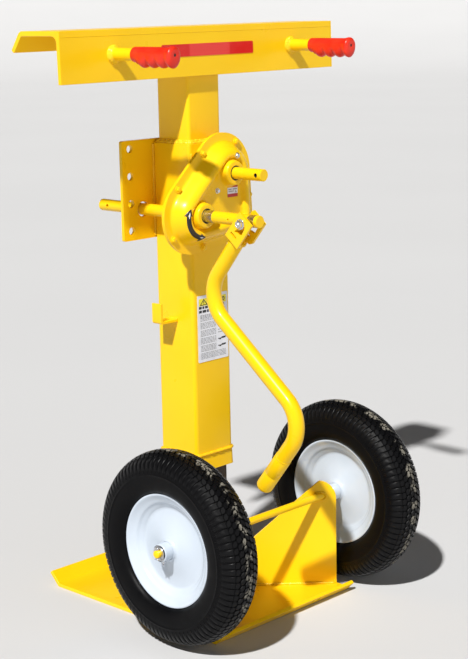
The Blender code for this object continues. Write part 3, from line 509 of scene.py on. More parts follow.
def base_plate():
    low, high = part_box("base_plate")
    t = 0.008
    front, back = low.y + 0.019, high.y - 0.027
    skew = t * math.sqrt(0.5)
    fold = t * math.tan(math.radians(22.5))
    points = ((front, 0.0), (back, 0.0), (high.y, high.z - skew), (high.y - skew, high.z),
              (back - fold, t), (front + fold, t), (low.y + skew, 0.019 + skew),
              (low.y, 0.019))
    radii = (0.009, 0.009, 0.0, 0.0, 0.004, 0.004, 0.0, 0.0)
    bm = prism(rounded(points, radii, 6), "X", low.x, high.x)
    painted("floor_plate", bm, "base", "base_plate", edge=EDGE)


def gusset(side, front):
    """Upright plate on a diagonal; front ones carry the axle."""
    name = "gusset_%s_%s" % ("front" if front else "rear", "right" if side > 0 else "left")
    low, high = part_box(name)
    floor, top = low.z, high.z
    half = 0.00635 / 2
    offset = -0.0175 if front else 0.0
    root = math.sqrt(0.5)
    inner = (0.0478 - offset / 2) / root + half

    def place(reach, z, w):
        x = offset / 2 + w * root + reach * root
        y = offset / 2 + w * root - reach * root
        return (x * side, y if front else -y, z)
    holes = []
    if front:
        reach, radius, slope = 0.306, 0.040, 0.88
        centre = reach - radius
        outline = [(inner, floor), (reach, floor)]
        outline += arc(centre, top - radius, radius, 0, 87, 20)
        outline.append((inner, top - slope * (centre - inner)))
        holes.append(arc((abs(AXLE.y) + offset / 2) / root, AXLE.z, 0.0105, 0, 345, 23))
    else:
        reach, toe, crest, crest_reach = 0.165, floor + 0.012, 0.105, 0.045
        share = (reach - inner) / (reach - crest_reach)
        outline = [(inner, floor), (reach, floor), (reach, toe),
                   (inner, toe + (crest - toe) * share)]
    painted("%s_plate" % name, plate(outline, holes, place, -half, half), "base", name,
            edge=0.0007)
    run = 0.300 if front else 0.160
    beads = []
    for w in (-half - 0.0008, half + 0.0008):
        path = [place(reach, floor + 0.0012, w) for reach in (inner + 0.004, run)]
        beads.append(weld(path, 0.0030, seed=int(w > 0) + (3 if front else 5)))
    weld_piece("weld_%s" % name, beads, "base")


def leg():
    low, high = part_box("inner_leg")
    levels = [(z, high.x, 0.008) for z in (low.z, high.z)]
    piece("leg_tube", square_tube(levels, high.x - 0.006), STEEL, "base",
          "inner_leg", edge=0.0006)
    loop = square_loop(high.x + 0.0008, 0.009, low.z + 0.0012)
    weld_piece("weld_leg_foot", [weld(loop, 0.0034, True, 9)], "base")


def axle():
    collar = 0.2094
    end = AXLE_HIGH.x
    bar = [(0, AXLE_R), (collar - 0.0049, AXLE_R), (collar - 0.0045, 0.0121),
           (collar - 0.0041, 0.0125), (collar - 0.0004, 0.0125), (collar, 0.0121),
           (collar, AXLE_R), (end - 0.0020, AXLE_R), (end - 0.0006, AXLE_R - 0.0010),
           (end, AXLE_R - 0.0024)]
    profile = [(-x, r) for x, r in reversed(bar)] + bar[1:]
    painted("axle_bar", turned(profile, AXLE, X, 40), "base", "wheel_axle", 35)
    beads = []
    for side in (-1, 1):
        x = side * (abs(AXLE.y) - 0.0175)
        for w in (-0.0052, 0.0052):
            ring = circle(Vector((x + w, AXLE.y, AXLE.z)), Y, Z, 0.0098, 24)
            for point in ring:
                point.x += side * -(point.y - AXLE.y)
            beads.append(weld(ring, 0.0026, True, 21))
    weld_piece("weld_axle", beads, "base")
    for name, side in (("left", -1), ("right", 1)):
        split_pin("split_pin_" + name, side)
        low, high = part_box("axle_washer_" + name)
        washer = tube_ring((low.x, AXLE.y, AXLE.z), (high.x, AXLE.y, AXLE.z),
                           AXLE_R + 0.0004, high.y - AXLE.y)
        piece("flat_washer_" + name, washer, ZINC, "base",
              "axle_washer_" + name, 35)


def split_pin(name, side):
    """Bent wire pin through the axle's end, with its eye on top and spread legs below."""
    centre = AXLE + X * side * (AXLE_HIGH.x - 0.0042)
    wire = 0.0011
    shapes = []
    for lean in (-1, 1):
        path = [centre + Vector((side * x, lean * y, z))
                for x, y, z in ((0.0, wire, 0.0085), (0.0, wire, -0.0085),
                                (0.0004, 0.0030, -0.0112), (0.0004, 0.0062, -0.0125))]
        fine = resampled(path, 0.0008, False)
        shapes.append(swept(fine, [wire] * len(fine), 8))
    eye = circle(centre + Z * 0.0112, -Z, Y, 0.0030, 20)
    shapes.append(swept(eye, [wire] * len(eye), 8, True))
    piece(name, merged(*shapes), ZINC, "base", smooth=60)


# ---------------------------------------------------------------- wheels

LUGS = 88
CROWN = mm((0, 203.2), (6, 202.9), (12, 202), (18, 200.4), (24, 198.2), (34, 191.8),
           (38, 187.8), (41, 183), (43.5, 177), (45, 172))
CARCASS = mm((40.8, 180.4), (43.2, 174.5), (44.7, 170), (45.8, 165.5), (46.5, 161.4),
             (47.2, 160.4), (47.4, 159.4), (46.7, 158.6), (46.8, 154), (46.4, 147),
             (45.5, 140), (44, 133.5), (41.8, 128), (38.8, 123.8), (35.2, 121.2),
             (31.8, 120), (29.6, 119.2), (26.2, 115), (21.5, 108.5), (15, 103))
# rows of centre blocks: shift along the row and corners, both in lug pitches, by metres across
BLOCKS = ((0.0, ((-0.45, 0.0005), (0.08, 0.0005), (0.45, 0.0046), (0.45, 0.0098),
                 (-0.06, 0.0098), (-0.45, 0.0056))),
          (0.5, ((-0.45, 0.0110), (0.08, 0.0110), (0.45, 0.0152), (0.45, 0.0206),
                 (-0.06, 0.0206), (-0.45, 0.0162))),
          (0.0, ((-0.44, 0.0219), (0.12, 0.0219), (0.46, 0.0250), (0.46, 0.0300),
                 (-0.10, 0.0300), (-0.44, 0.0262))))
RIM = mm((0, 89.8), (10.5, 89.8), (13.5, 92), (16.5, 98.5), (19, 100.8), (21.5, 104.2),
         (25.8, 110.2), (29, 115), (30.6, 117.4), (31.8, 118.6), (33, 118.8), (33.8, 117.8),
         (33.8, 115.8), (33, 114), (30.5, 111.2), (27.2, 107), (24.6, 102.6), (23.2, 99.4),
         (21.5, 97.4), (19.2, 95.8), (17, 93), (15, 89.5), (12.8, 86.8), (11.2, 85),
         (11.2, 80), (12.2, 70), (13.8, 60), (16.2, 50), (19.2, 40), (22.2, 30), (24, 24.5),
         (26.2, 21.5), (30, 20.2), (30, 19.4), (19.5, 19.4), (19.5, 26), (19, 33), (13.5, 50),
         (9.6, 70), (8.6, 80), (8.6, 86.8))


def curve(points, value):
    """Height of a broken line of (position, height) points."""
    if value <= points[0][0]:
        return points[0][1]
    for (x0, y0), (x1, y1) in zip(points, points[1:]):
        if value <= x1:
            return y0 + (y1 - y0) * (value - x0) / (x1 - x0)
    return points[-1][1]


def tyre_body(centre):
    """Carcass: groove floor under the tread, smooth sidewalls, moulding line, bead."""
    groove = 0.0038
    across = (0.0, 0.006, 0.012, 0.018, 0.024, 0.029, 0.034, 0.038)
    half = [(x, curve(CROWN, x) - groove) for x in across] + CARCASS
    profile = [(-x, r) for x, r in reversed(half)] + half[1:]
    return turned(profile, centre, X, 144, ring=True)


def shrunk(corners, share):
    """An outline drawn towards its middle."""
    middle = [sum(values) / len(corners) for values in zip(*corners)]
    return [[m + (value - m) * share for m, value in zip(middle, corner)]
            for corner in corners]


def tread(centre):
    """Rows of blocks round the tyre: zigzag centre rows and long ribbed shoulder lugs."""
    pitch = 2 * math.pi / LUGS
    inner, outer = 0.0312, 0.0444
    rib_low, rib_high = 0.1635, 0.1745
    bm = bmesh.new()

    def spot(turn, x, r):
        a = turn * pitch
        return centre + Vector((x, math.cos(a) * r, math.sin(a) * r))

    def there_and_back(width, low, high, steps):
        span = [low + (high - low) * k / steps for k in range(steps + 1)]
        return [(-width, s) for s in span] + [(width, s) for s in reversed(span)]

    def taper(x):
        return 1.0 - 0.30 * (x - inner) / (outer - inner)
    shoulder = there_and_back(0.45, inner, outer, 5)
    rib = there_and_back(0.07, rib_low, rib_high, 3)
    for index in range(LUGS):
        for side in (-1, 1):
            turn = index + (0.5 if side > 0 else 0.0)
            for shift, corners in BLOCKS:
                skin([[spot(turn + shift + a, side * x, curve(CROWN, x) + lift)
                       for a, x in shrunk(corners, share)]
                      for share, lift in ((1.0, -0.0052), (1.0, -0.0008), (0.90, 0.0))],
                     bm=bm)
            skin([[spot(turn + a * share * taper(x), side * (x + out), curve(CROWN, x) + lift)
                   for a, x in shoulder]
                  for share, lift, out in ((1.0, -0.0050, 0.0006), (0.96, -0.0006, 0.0),
                                           (0.84, 0.0, 0.0))], bm=bm)
            skin([[spot(turn + a * share, side * (0.0463 - (r - rib_low) * 0.22 + out), r)
                   for a, r in rib] for share, out in ((1.0, -0.0010), (0.5, 0.0007))],
                 bm=bm)
    return bm


def wheel(name, side):
    """Tyre, tread, pressed rim (curled flanges, stepped barrel, coned discs) and hub."""
    body = name + "_wheel"
    low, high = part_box(name + "_tyre")
    centre = (low + high) / 2
    piece(name + "_tyre_carcass", tyre_body(centre), RUBBER, body, name + "_tyre", 50)
    piece(name + "_tyre_tread", tread(centre), TREAD, body, smooth=30)
    profile = [(-x, r) for x, r in reversed(RIM)] + RIM[1:]
    piece(name + "_rim_pressing", turned(profile, centre, X, 128, ring=True), WHITE, body,
          name + "_rim", 45)
    low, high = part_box(name + "_hub")
    start, end = (low.x, high.x) if side > 0 else (high.x, low.x)
    hub = tube_ring((start, AXLE.y, AXLE.z), (end, AXLE.y, AXLE.z), 0.0173, high.y - AXLE.y,
                    0.0012)
    piece(name + "_hub_tube", hub, WHITE, body, name + "_hub", 35)
    low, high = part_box(name + "_bearing")
    steps = mm((0, 8.6), (0, 11.2), (0.8, 11.4), (1.2, 14.2), (0.4, 14.6), (0, 15), (0.3, 16.9))
    profile = steps + [(high.x - low.x - a, r) for a, r in reversed(steps)]
    start = low.x if side > 0 else high.x
    ring = turned(profile, (start, AXLE.y, AXLE.z), X * side, 48, ring=True)
    piece(name + "_bearing_rings", ring, ZINC, body, name + "_bearing", 35)
    low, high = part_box(name + "_grease_nipple")
    profile = mm((0, 2.9), (4.6, 2.9), (4.8, 4.6), (7.8, 4.6), (8, 3), (9.5, 2.2), (10.5, 2.2),
                 (11.8, 3.1), (13, 2.9), (13.8, 1.8), (14, 0.6))
    nipple = turned(profile, ((low.x + high.x) / 2, AXLE.y, high.z), -Z, 24)
    piece(name + "_nipple", nipple, ZINC, body, name + "_grease_nipple", 35)


# ---------------------------------------------------------------- column

def column_tubes():
    low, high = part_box("outer_tube")
    levels = [(z, high.x, 0.0085) for z in (low.z, high.z)]
    painted("leg_housing", square_tube(levels, high.x - 0.006), "column", "outer_tube",
            edge=0.0008)
    foot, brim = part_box("foot_collar")
    half = brim.x
    levels = [(foot.z, half - 0.0008, 0.010), (foot.z + 0.0010, half, 0.011),
              (foot.z + 0.0050, half - 0.0006, 0.011),
              (brim.z - 0.0050, half - 0.0016, 0.010), (brim.z, half - 0.0026, 0.009)]
    painted("leg_collar", square_tube(levels, high.x + 0.0003, 0.0088), "column",
            "foot_collar", 30)
    loop = square_loop(high.x + 0.0012, 0.0095, brim.z + 0.0006)
    weld_piece("weld_collar", [weld(loop, 0.0040, True, 31, 0.24)])
    half = 0.0475
    levels = [(corner.z, half, 0.0075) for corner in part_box("upper_post")]
    painted("head_post", square_tube(levels, half - 0.005), "column", "upper_post",
            edge=0.0006)
    beads = [weld(square_loop(half + 0.0022, 0.0095, high.z + 0.0016), 0.0050, True, 41, 0.24),
             weld(square_loop(half + 0.0006, 0.0085, high.z + 0.0056), 0.0034, True, 43, 0.3)]
    weld_piece("weld_post", beads)


def front_y(z):
    """Front face of the beam, which leans out slightly towards its lower edge."""
    low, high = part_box("beam")
    return low.y + 0.0022 * (z - low.z) / (high.z - low.z)


def beam():
    low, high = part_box("beam")
    top, rear = high.z, high.y
    t, web = 0.0100, 0.0088
    foot = 1.1446
    face = front_y(top)
    points = ((front_y(foot), foot), (face, top), (0.0610, top), (rear, top - 0.0375),
              (rear - 0.0075, top - 0.0435), (0.0565, top - t), (face + web, top - t),
              (front_y(foot) + web, foot))
    radii = (0.0, 0.0014, 0.0150, 0.0028, 0.0028, 0.0070, 0.0140, 0.0)
    bm = prism(rounded(points, radii, 8), "X", low.x, high.x)
    painted("channel_beam", bm, "column", "beam", edge=EDGE)
    ends = [Vector((x, face - 0.00005, top - 0.0120)) for x in (low.x + 0.002, high.x - 0.002)]
    painted("beam_roll_line", swept(ends, [0.0007, 0.0007], 8), "column", smooth=60)


def handle(name, side):
    low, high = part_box("handle_" + name)
    x, z = (low.x + high.x) / 2, (low.z + high.z) / 2
    start = high.y
    bar = rod((x, start, z), (x, low.y + 0.0030, z), 0.0127, 0.0010, 40)
    painted("handle_bar_" + name, bar, "column", "handle_" + name, 35)
    ring = circle(Vector((x, start - 0.0018, z)), X, Z, 0.0138, 48)
    cone = turned(mm((-1, 12), (-1, 18.6), (1.2, 19), (3.4, 17), (6, 14.8), (8.5, 13.3),
                     (9.2, 12)), (x, start, z), -Y, 40)
    weld_piece("weld_handle_" + name, [weld(ring, 0.0046, True, 51 + side), cone])
    grip(name, x, z)


def grip(name, x, z):
    """Dipped sleeve with finger lobes below and a small hole in its closed end; a dark plug in the
    hole is painted shade.
    """
    low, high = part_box("grip_" + name)
    end, start = low.y, high.y
    segments = 40

    def ring(y, radius, bulge=0.0):
        loop = []
        for k in range(segments):
            a = 2 * math.pi * k / segments
            r = radius + bulge * max(0.0, -math.sin(a)) ** 2.0
            loop.append((x + r * math.cos(a), y, z + r * math.sin(a)))
        return loop
    loops = [ring(end + 0.0050, 0.0128), ring(start, 0.0128)]
    for k in range(7):
        a = math.radians(90 * k / 6)
        loops.append(ring(start - 0.0014 * (1 - math.cos(a)), 0.0138 + 0.0014 * math.sin(a)))
    first, last = start - 0.0024, end + 0.0060
    steps = 120
    for i in range(steps + 1):
        y = first + (last - first) * i / steps
        swell = 0.0020 / (1.0 + math.exp((y - last - 0.0060) / 0.0020))
        wave = abs(math.cos(math.pi * (y - end - 0.0052) / 0.0262)) ** 0.62
        step_in = min(1.0, max(0.0, (start - 0.0110 - y) / 0.0025))
        step_in = step_in * step_in * (3 - 2 * step_in)
        bulge = step_in * (0.0012 + 0.0090 * wave) - swell
        loops.append(ring(y, 0.0152 + swell, max(0.0, bulge)))
    for k in range(1, 9):
        a = math.radians(90 * k / 8)
        loops.append(ring(last - 0.0060 * math.sin(a), 0.0171 - 0.0078 * (1 - math.cos(a)),
                          0.0072 * math.cos(a)))
    loops += [ring(end + y, r) for y, r in mm((0.1, 6), (0.5, 3.3), (3.4, 2.9), (3.6, 0.4))]
    # dark plug inside the end hole: painted shade of the hollow
    vent_shade = rod((x, end + 0.0012, z), (x, end + 0.0038, z), 0.00305, 0.0002, 16)
    piece("grip_vent_shade_" + name, vent_shade, SEAL, "column")
    piece("vinyl_grip_" + name, skin(loops), VINYL, "column", "grip_" + name, 60)


def rear_flange():
    low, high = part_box("mounting_flange")
    cx = (low.x + high.x) / 2
    outline = rounded(rect(low.x, low.z, high.x, high.z), [0.004] * 4, 5)
    holes = [arc(cx + dx, z, 0.0083, 0, 345, 23) for dx in (-0.1215, 0.1215)
             for z in (0.8205, 0.8785, 0.9365, 0.9945)]
    holes.append(arc(*INPUT, 0.0162, 0, 350, 35))
    bm = plate(outline, holes, lambda u, v, w: Vector((u, w, v)), low.y, high.y)
    painted("rear_flange", bm, "column", "mounting_flange", edge=0.0007)
    beads = []
    for side in (-1, 1):
        path = [(side * 0.0545, low.y - 0.0006, z) for z in (low.z + 0.004, high.z - 0.010)]
        beads.append(weld(path, 0.0034, seed=61 + side))
    weld_piece("weld_flange", beads)


def hook():
    low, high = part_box("crank_hook")
    t = 0.0055
    points = ((high.x, low.z), (low.x, low.z), (low.x, high.z), (low.x + t, high.z),
              (low.x + t, low.z + t), (high.x, low.z + t))
    outline = rounded(points, (0.0, 0.0055, 0.0006, 0.0006, 0.0020, 0.0), 6)
    painted("stow_hook", prism(outline, "Y", low.y, high.y), "column", "crank_hook",
            edge=0.0006)
    beads = []
    for z in (low.z - 0.0006, low.z + t + 0.0006):
        path = [(high.x - 0.0004, y, z) for y in (low.y + 0.001, high.y - 0.001)]
        beads.append(weld(path, 0.0024, seed=71))
    weld_piece("weld_hook", beads)


def tape():
    low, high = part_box("reflective_tape")
    outline = rounded(rect(low.x, low.z, high.x, high.z), [0.0035] * 4, 5)
    bm = plate(outline, [], lambda u, v, w: Vector((u, front_y(v) + w, v)), -0.0007, -0.0001)
    piece("tape_strip", bm, TAPE, "column", "reflective_tape", 30)


# ---------------------------------------------------------------- prints

class Print:
    """A printed sheet on a node's place; its outlines are shares of width and height."""

    def __init__(self, name, node, outline):
        low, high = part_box(node)
        self.corner = Vector((low.x, high.y, low.z))
        self.size = high - low
        sheet = skin([[self.place(u, v, w) for u, v in outline] for w in (0.0, self.size.y)])
        piece(name, sheet, PAPER, "column", node, 30)

    def place(self, u, v, w):
        return self.corner + Vector((u * self.size.x, -w, v * self.size.z))

    def ink(self, name, shapes, rise, look):
        """Thin closed tablets of ink; a pair of outlines is a shape with a hole."""
        low, high = self.size.y - 0.0002, self.size.y + rise
        solids = []
        for outline in shapes:
            if isinstance(outline, tuple):
                solids.append(plate(outline[0], [outline[1]], self.place, low, high))
            else:
                solids.append(skin([[self.place(u, v, w) for u, v in outline]
                                    for w in (low, high)]))
        piece(name, merged(*solids), look, "column")


def label():
    """Paper label with a banner, a generic hazard triangle and bars in place of text."""
    sheet = Print("label_sheet", "warning_label", rounded(rect(0, 0, 1, 1), [0.02] * 4, 3))
    chance = random.Random(7)
    sheet.ink("label_banner", [rect(0.05, 0.845, 0.95, 0.955)], 0.00006, INK_YELLOW)
    black = [([(0.08, 0.852), (0.34, 0.852), (0.21, 0.950)],
              [(0.125, 0.864), (0.295, 0.864), (0.21, 0.928)]),
             rect(0.198, 0.884, 0.222, 0.912), rect(0.199, 0.868, 0.221, 0.879)]
    for u in (0.40, 0.48, 0.56, 0.64, 0.72):
        black.append(rect(u, 0.868, u + 0.055, 0.932))
    dot = arc(0, 0, 1, 0, 345, 23)
    black.append(tuple([(0.86 + width * x, 0.900 + height * z) for x, z in dot]
                       for width, height in ((0.045, 0.029), (0.022, 0.014))))
    for v in (0.800, 0.742):
        u = 0.05
        while u < 0.90:
            long = chance.choice((0.06, 0.09, 0.12))
            black.append(rect(u, v, min(u + long, 0.95), v + 0.038))
            u += long + 0.025
    for v in (0.300, 0.195):
        black += [rect(0.66, v, 0.90, v + 0.012), rect(0.78, v + 0.008, 0.92, v + 0.026),
                  rect(0.70, v - 0.012, 0.76, v + 0.002)]
    sheet.ink("label_marks", black, 0.00016, INK)
    grey = []
    v = 0.695
    rows = 0
    while v > 0.045:
        height = 0.013 if v > 0.655 else 0.009
        u = 0.09
        limit = 0.60 if v > 0.15 else 0.92
        while u < limit:
            long = chance.uniform(0.03, 0.09)
            grey.append(rect(u, v, min(u + long, limit), v + height))
            u += long + 0.018
        rows += 1
        v -= 0.0195 if rows % 5 else 0.036
    for v in (0.60, 0.545, 0.49, 0.44, 0.40):
        grey.append(rect(0.66, v, 0.66 + chance.uniform(0.14, 0.26), v + 0.010))
    sheet.ink("label_lines", grey, 0.00016, INK_GREY)


def decal():
    sheet = Print("decal_sheet", "gear_decal", rect(0, 0, 1, 1))
    red = [rect(0.0, 0.80, 1.0, 1.0), rect(0.0, 0.0, 1.0, 0.28)]
    sheet.ink("decal_bands", red, 0.0001, INK_RED)
    grey = [rect(0.08, 0.60, 0.40, 0.70), rect(0.50, 0.60, 0.92, 0.70),
            rect(0.08, 0.44, 0.66, 0.52), [(0.70, 0.34), (0.92, 0.34), (0.81, 0.56)]]
    sheet.ink("decal_marks", grey, 0.0001, INK_GREY)


# ---------------------------------------------------------------- gearbox

# (x, z) of the two shafts, and (x, z, radius) of the lobes whose hull is the case's outline
OUTPUT = (0.0, 0.945)
INPUT = (-0.0875, 0.8645)
SHAFTS = (OUTPUT, INPUT)
LOBES = ((0.002, 0.945, 0.082), (-0.090, 0.862, 0.0805), (0.027, 0.858, 0.062))
FACINGS = [(math.cos(2 * math.pi * k / 180), math.sin(2 * math.pi * k / 180))
           for k in range(180)]
SUPPORT = [max(c[0] * nx + c[1] * nz + c[2] for c in LOBES) for nx, nz in FACINGS]
# cover height against the distance from its edge, and against the distance from a shaft
RIDGE = mm((0, 4), (15.5, 4), (17.5, 4.6), (19.5, 6.4), (21.5, 9.8), (24, 15.6), (27, 21.8),
           (30, 27), (33.5, 31.6), (37.5, 35), (41.5, 36.6), (45, 37), (48, 36.2), (50.5, 33.8),
           (52.5, 30.4), (54.5, 27.2), (56.5, 25.2), (59, 24.2), (62, 24), (100, 24))
BOSS = mm((0, 44), (22.5, 44), (24, 43.6), (25.2, 42.6), (26, 40.8), (26.8, 37), (27.6, 32),
          (28.6, 28), (30, 25.5), (32, 24.3), (35, 20), (40, 0))
COVER_INSETS = (0.0, 0.0008, 0.009, 0.0155, 0.0175, 0.0195, 0.0215, 0.024, 0.027, 0.030,
                0.0335, 0.0375, 0.0415, 0.045, 0.048, 0.0505, 0.0525, 0.0545, 0.0565, 0.059,
                0.0605)
BOSS_RINGS = (0.0158, 0.0190, 0.0215, 0.0232, 0.0244, 0.0252, 0.0258, 0.0263, 0.0268, 0.0273,
              0.0279, 0.0286, 0.0294, 0.0304, 0.0318, 0.0335, 0.0355)


def lobe_points(inset, count):
    """(x, z) outline of the joined lobes, moved inwards."""
    points = []
    for i in range(count):
        a = 2 * math.pi * (i + 0.5) / count
        nx, nz = math.cos(a), math.sin(a)
        best = max(LOBES, key=lambda lobe: lobe[0] * nx + lobe[1] * nz + lobe[2])
        radius = max(best[2] - inset, 0.0)
        points.append((best[0] + nx * radius, best[1] + nz * radius))
    return points


def inset_of(x, z):
    return min(h - nx * x - nz * z for (nx, nz), h in zip(FACINGS, SUPPORT))


def shaft_distance(x, z):
    return min(math.hypot(x - cx, z - cz) for cx, cz in SHAFTS)


def cover_height(x, z):
    """Ridge round the edge joined to the shaft bosses by small fillets."""
    height = curve(RIDGE, inset_of(x, z))
    fillet_gap = 0.0024
    for cx, cz in SHAFTS:
        boss = curve(BOSS, math.hypot(x - cx, z - cz))
        if abs(height - boss) < fillet_gap:
            spread = (height - boss) / fillet_gap
            height = (height + boss) / 2 + fillet_gap * (spread * spread + 1) / 4
        else:
            height = max(height, boss)
    return height


def gearbox_cover():
    """Pressed cover: a height field over rings that follow its edge and its two bosses."""
    points = []
    edges = []

    def border(start):
        count = len(points) - start
        return [(start + i, start + (i + 1) % count) for i in range(count)]
    for inset in COVER_INSETS:
        ring = resampled([Vector(p) for p in lobe_points(inset, 360)], 0.0040, True)
        points += [(x, z) for x, z in ring if not inset or shaft_distance(x, z) > 0.0365]
        edges = edges or border(0)
    for cx, cz in SHAFTS:
        for radius in BOSS_RINGS:
            start = len(points)
            points += [(p.x, p.y) for p in circle(Vector((cx, cz)), X.xy, Y.xy, radius, 64)]
            if radius == BOSS_RINGS[0]:
                edges += border(start)
    span = 0.0045
    for i in range(-40, 30):
        for j in range(-30, 30):
            x, z = i * span + (j % 2) * span / 2, 0.9 + j * span * 0.87
            if inset_of(x, z) > 0.0625 and shaft_distance(x, z) > 0.0375:
                points.append((x, z))
    verts, _, faces, *_ = delaunay_2d_cdt([Vector(p) for p in points], edges, [], 0, 1e-6)
    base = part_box("gearbox_cover")[1].y
    bm = bmesh.new()
    placed = [bm.verts.new((v.x, base - cover_height(v.x, v.y), v.y)) for v in verts]
    for face in faces:
        middle = sum((verts[i] for i in face), Vector((0, 0))) / len(face)
        if shaft_distance(*middle) > 0.0157:
            bm.faces.new([placed[i] for i in face])
    loose = [v for v in bm.verts if not v.link_faces]
    bmesh.ops.delete(bm, geom=loose, context="VERTS")
    return painted("pressed_cover", thicken(bm, (0, 0.0039, 0)), "column", "gearbox_cover", 50)


def gearbox_case():
    low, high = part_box("gearbox_case")
    back, front = high.y, low.y
    steps = ((0.0375, back), (0.0360, back - 0.0008), (0.0300, back - 0.0110),
             (0.0245, back - 0.0260), (0.0215, front + 0.0060), (0.0190, front + 0.0042),
             (0.0008, front + 0.0040), (0.0, front + 0.0034), (0.0, front + 0.0006),
             (0.0006, front), (0.024, front), (0.0400, back - 0.004))
    loops = [[(x, y, z) for x, z in lobe_points(inset, 120)] for inset, y in steps]
    painted("gear_housing", skin(loops), "column", "gearbox_case", 38)
    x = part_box("outer_tube")[1].x - 0.004
    beads = [weld([(side * x, back - 0.001, z) for z in (0.835, 0.985)], 0.003, seed=81)
             for side in (-1, 1)]
    weld_piece("weld_housing", beads)


def hex_bolt(name, node, seat_lift, look, across, flange):
    """Flange bolt: washer face and a chamfered hexagon."""
    low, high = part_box(node)
    x, z = (low.x + high.x) / 2, (low.z + high.z) / 2
    seat = Vector((x, high.y + seat_lift, z))
    depth = high.y - low.y
    disc = turned([(0, flange), (0.0010, flange), (0.0018, flange - 0.0010)], seat, -Y, 28)
    r = across / 2 / math.cos(math.pi / 6)
    levels = ((0.0014, r), (depth - 0.0010, r), (depth - 0.0002, r * 0.90), (depth, r * 0.82))
    head = turned(levels, seat, -Y, 6)
    turn = Matrix.Rotation(math.radians(14 + x * 900), 4, "Y")
    here = Matrix.Translation(seat)
    bmesh.ops.transform(head, matrix=here @ turn @ here.inverted(), verts=head.verts)
    piece(name, merged(disc, head), look, "column", node, edge=0.0003)


def gearbox_small():
    for number in range(1, 7):
        hex_bolt("flange_bolt_%d" % number, "cover_bolt_%d" % number, 0.0, YELLOW,
                 0.0100, 0.0080)
    for number in (1, 2):
        hex_bolt("zinc_screw_%d" % number, "seal_screw_%d" % number, 0.002, ZINC,
                 0.0086, 0.0064)
    for name, node, (x, z) in (("output", "output_bush", OUTPUT),
                               ("input_front", "input_bush_front", INPUT)):
        low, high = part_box(node)
        depth = high.y - low.y
        rim = tube_ring((x, high.y, z), (x, low.y + 0.0006, z), 0.0142, 0.0155, 0.0003)
        piece(name + "_seal_case", rim, STEEL, "column", node, 35)
        lip = turned([(0, 0.01275), (0, 0.0142), (depth - 0.0020, 0.0142),
                      (depth - 0.0034, 0.0134), (depth - 0.0042, 0.01275)],
                     (x, high.y, z), -Y, 48, ring=True)
        piece(name + "_seal_lip", lip, SEAL, "column", smooth=50)


def arrow(cover):
    """Curved double-headed arrow laid on the cover's shoulder round the input shaft, with two
    short pale patches in its middle that are painted highlights.
    """
    tree = BVHTree.FromObject(cover, bpy.context.evaluated_depsgraph_get())
    cx, cz, radius = -0.0890, 0.861, 0.0415
    head = 0.17

    def band(width_at, start, end, steps, lift):
        rows = []
        for k in range(steps + 1):
            share = k / steps
            a = math.radians(start + (end - start) * share)
            row = []
            for w in (-1.0, -0.5, 0.0, 0.5, 1.0):
                r = radius + width_at(share) * w
                above = Vector((cx + r * math.cos(a), -0.5, cz + r * math.sin(a)))
                place, normal, *_ = tree.ray_cast(above, Y)
                row.append(place + normal.normalized() * lift)
            rows.append(row + [p + Y * 0.0006 for p in reversed(row)])
        return skin(rows)

    def width(share):
        near = min(share, 1 - share)
        return 0.0005 + 0.0080 * near / head if near < head else 0.0045

    def glint_width(share):
        return 0.0013 * math.sin(math.pi * min(max(share, 0.08), 0.92))
    piece("turn_arrow", band(width, 150, 276, 60, 0.0003), INK, "column", smooth=60)
    # two short pale patches along the arrow's middle: painted highlights
    for name, start, end in (("a", 160, 178), ("b", 254, 268)):
        piece("turn_arrow_glint_" + name, band(glint_width, start, end, 16, 0.0005), PAPER,
              "column", smooth=60)


# ---------------------------------------------------------------- shafts and crank

BOLT = Vector((INPUT[0], -0.2525, 0.860))
BOLT_HOLE = 0.0055
LEAN = math.radians(40)
YOKE_LOW, YOKE_HIGH = -0.0170, 0.0470
WINDOW = mm((-6, 10.5), (4, 8.5), (10.5, 0.5), (25.5, -4.5), (20.6, 4.6), (18.7, 13.8),
            (14.5, 15.7), (1.7, 14.3))
SLOT = rect(0.0295, -0.0100, 0.0350, 0.0092)
CRANK_R = 0.0163
# (y, z) of the crank tube's two bends, each with its radius, and of its tip
CRANK_BENDS = ((Vector((-0.1237, 0.6956)), 0.0690), (Vector((-0.4023, 0.4696)), 0.0695))
CRANK_TIP = Vector((-0.2805, 0.3116))
CRANK_GRIP = 0.098


def shaft_piece(name, node, place, start, body, holes):
    """Painted bar with cross holes, each given as (y, z, radius)."""
    x, z = place
    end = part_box(node)[0].y
    bar = painted(name, rod((x, start, z), (x, end, z), 0.0127, 0.0011, 48), body, node)
    carve(bar, [rod((x - 0.03, y, height), (x + 0.03, y, height), r, 0.0, 28)
                for y, height, r in holes])


def shafts():
    x, z = OUTPUT
    hole_y = -0.203
    shaft_piece("output_stub", "output_shaft", OUTPUT, -0.046, "output",
                [(hole_y, z, 0.0047)])
    # dark lining on the walls of the output shaft's cross hole: painted shade
    hole_shade = tube_ring((x - 0.0112, hole_y, z), (x + 0.0112, hole_y, z), 0.0037, 0.0046,
                       0.0002, 24)
    piece("output_hole_shade", hole_shade, SEAL, "output")
    x, z = INPUT
    shaft_piece("input_bar", "input_shaft", INPUT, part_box("input_shaft")[1].y, "input",
                [(0.158, z, 0.0041), (-0.2075, z, 0.0021), (BOLT.y, BOLT.z, BOLT_HOLE)])
    for name, start, end in (("front", -0.1372, -0.1600), ("yoke", -0.2588, -0.2770)):
        bare = tube_ring((x, start, z), (x, end, z), 0.01265, 0.01282, 0.0001)
        piece("input_bare_band_" + name, bare, BRIGHT, "input", smooth=35)


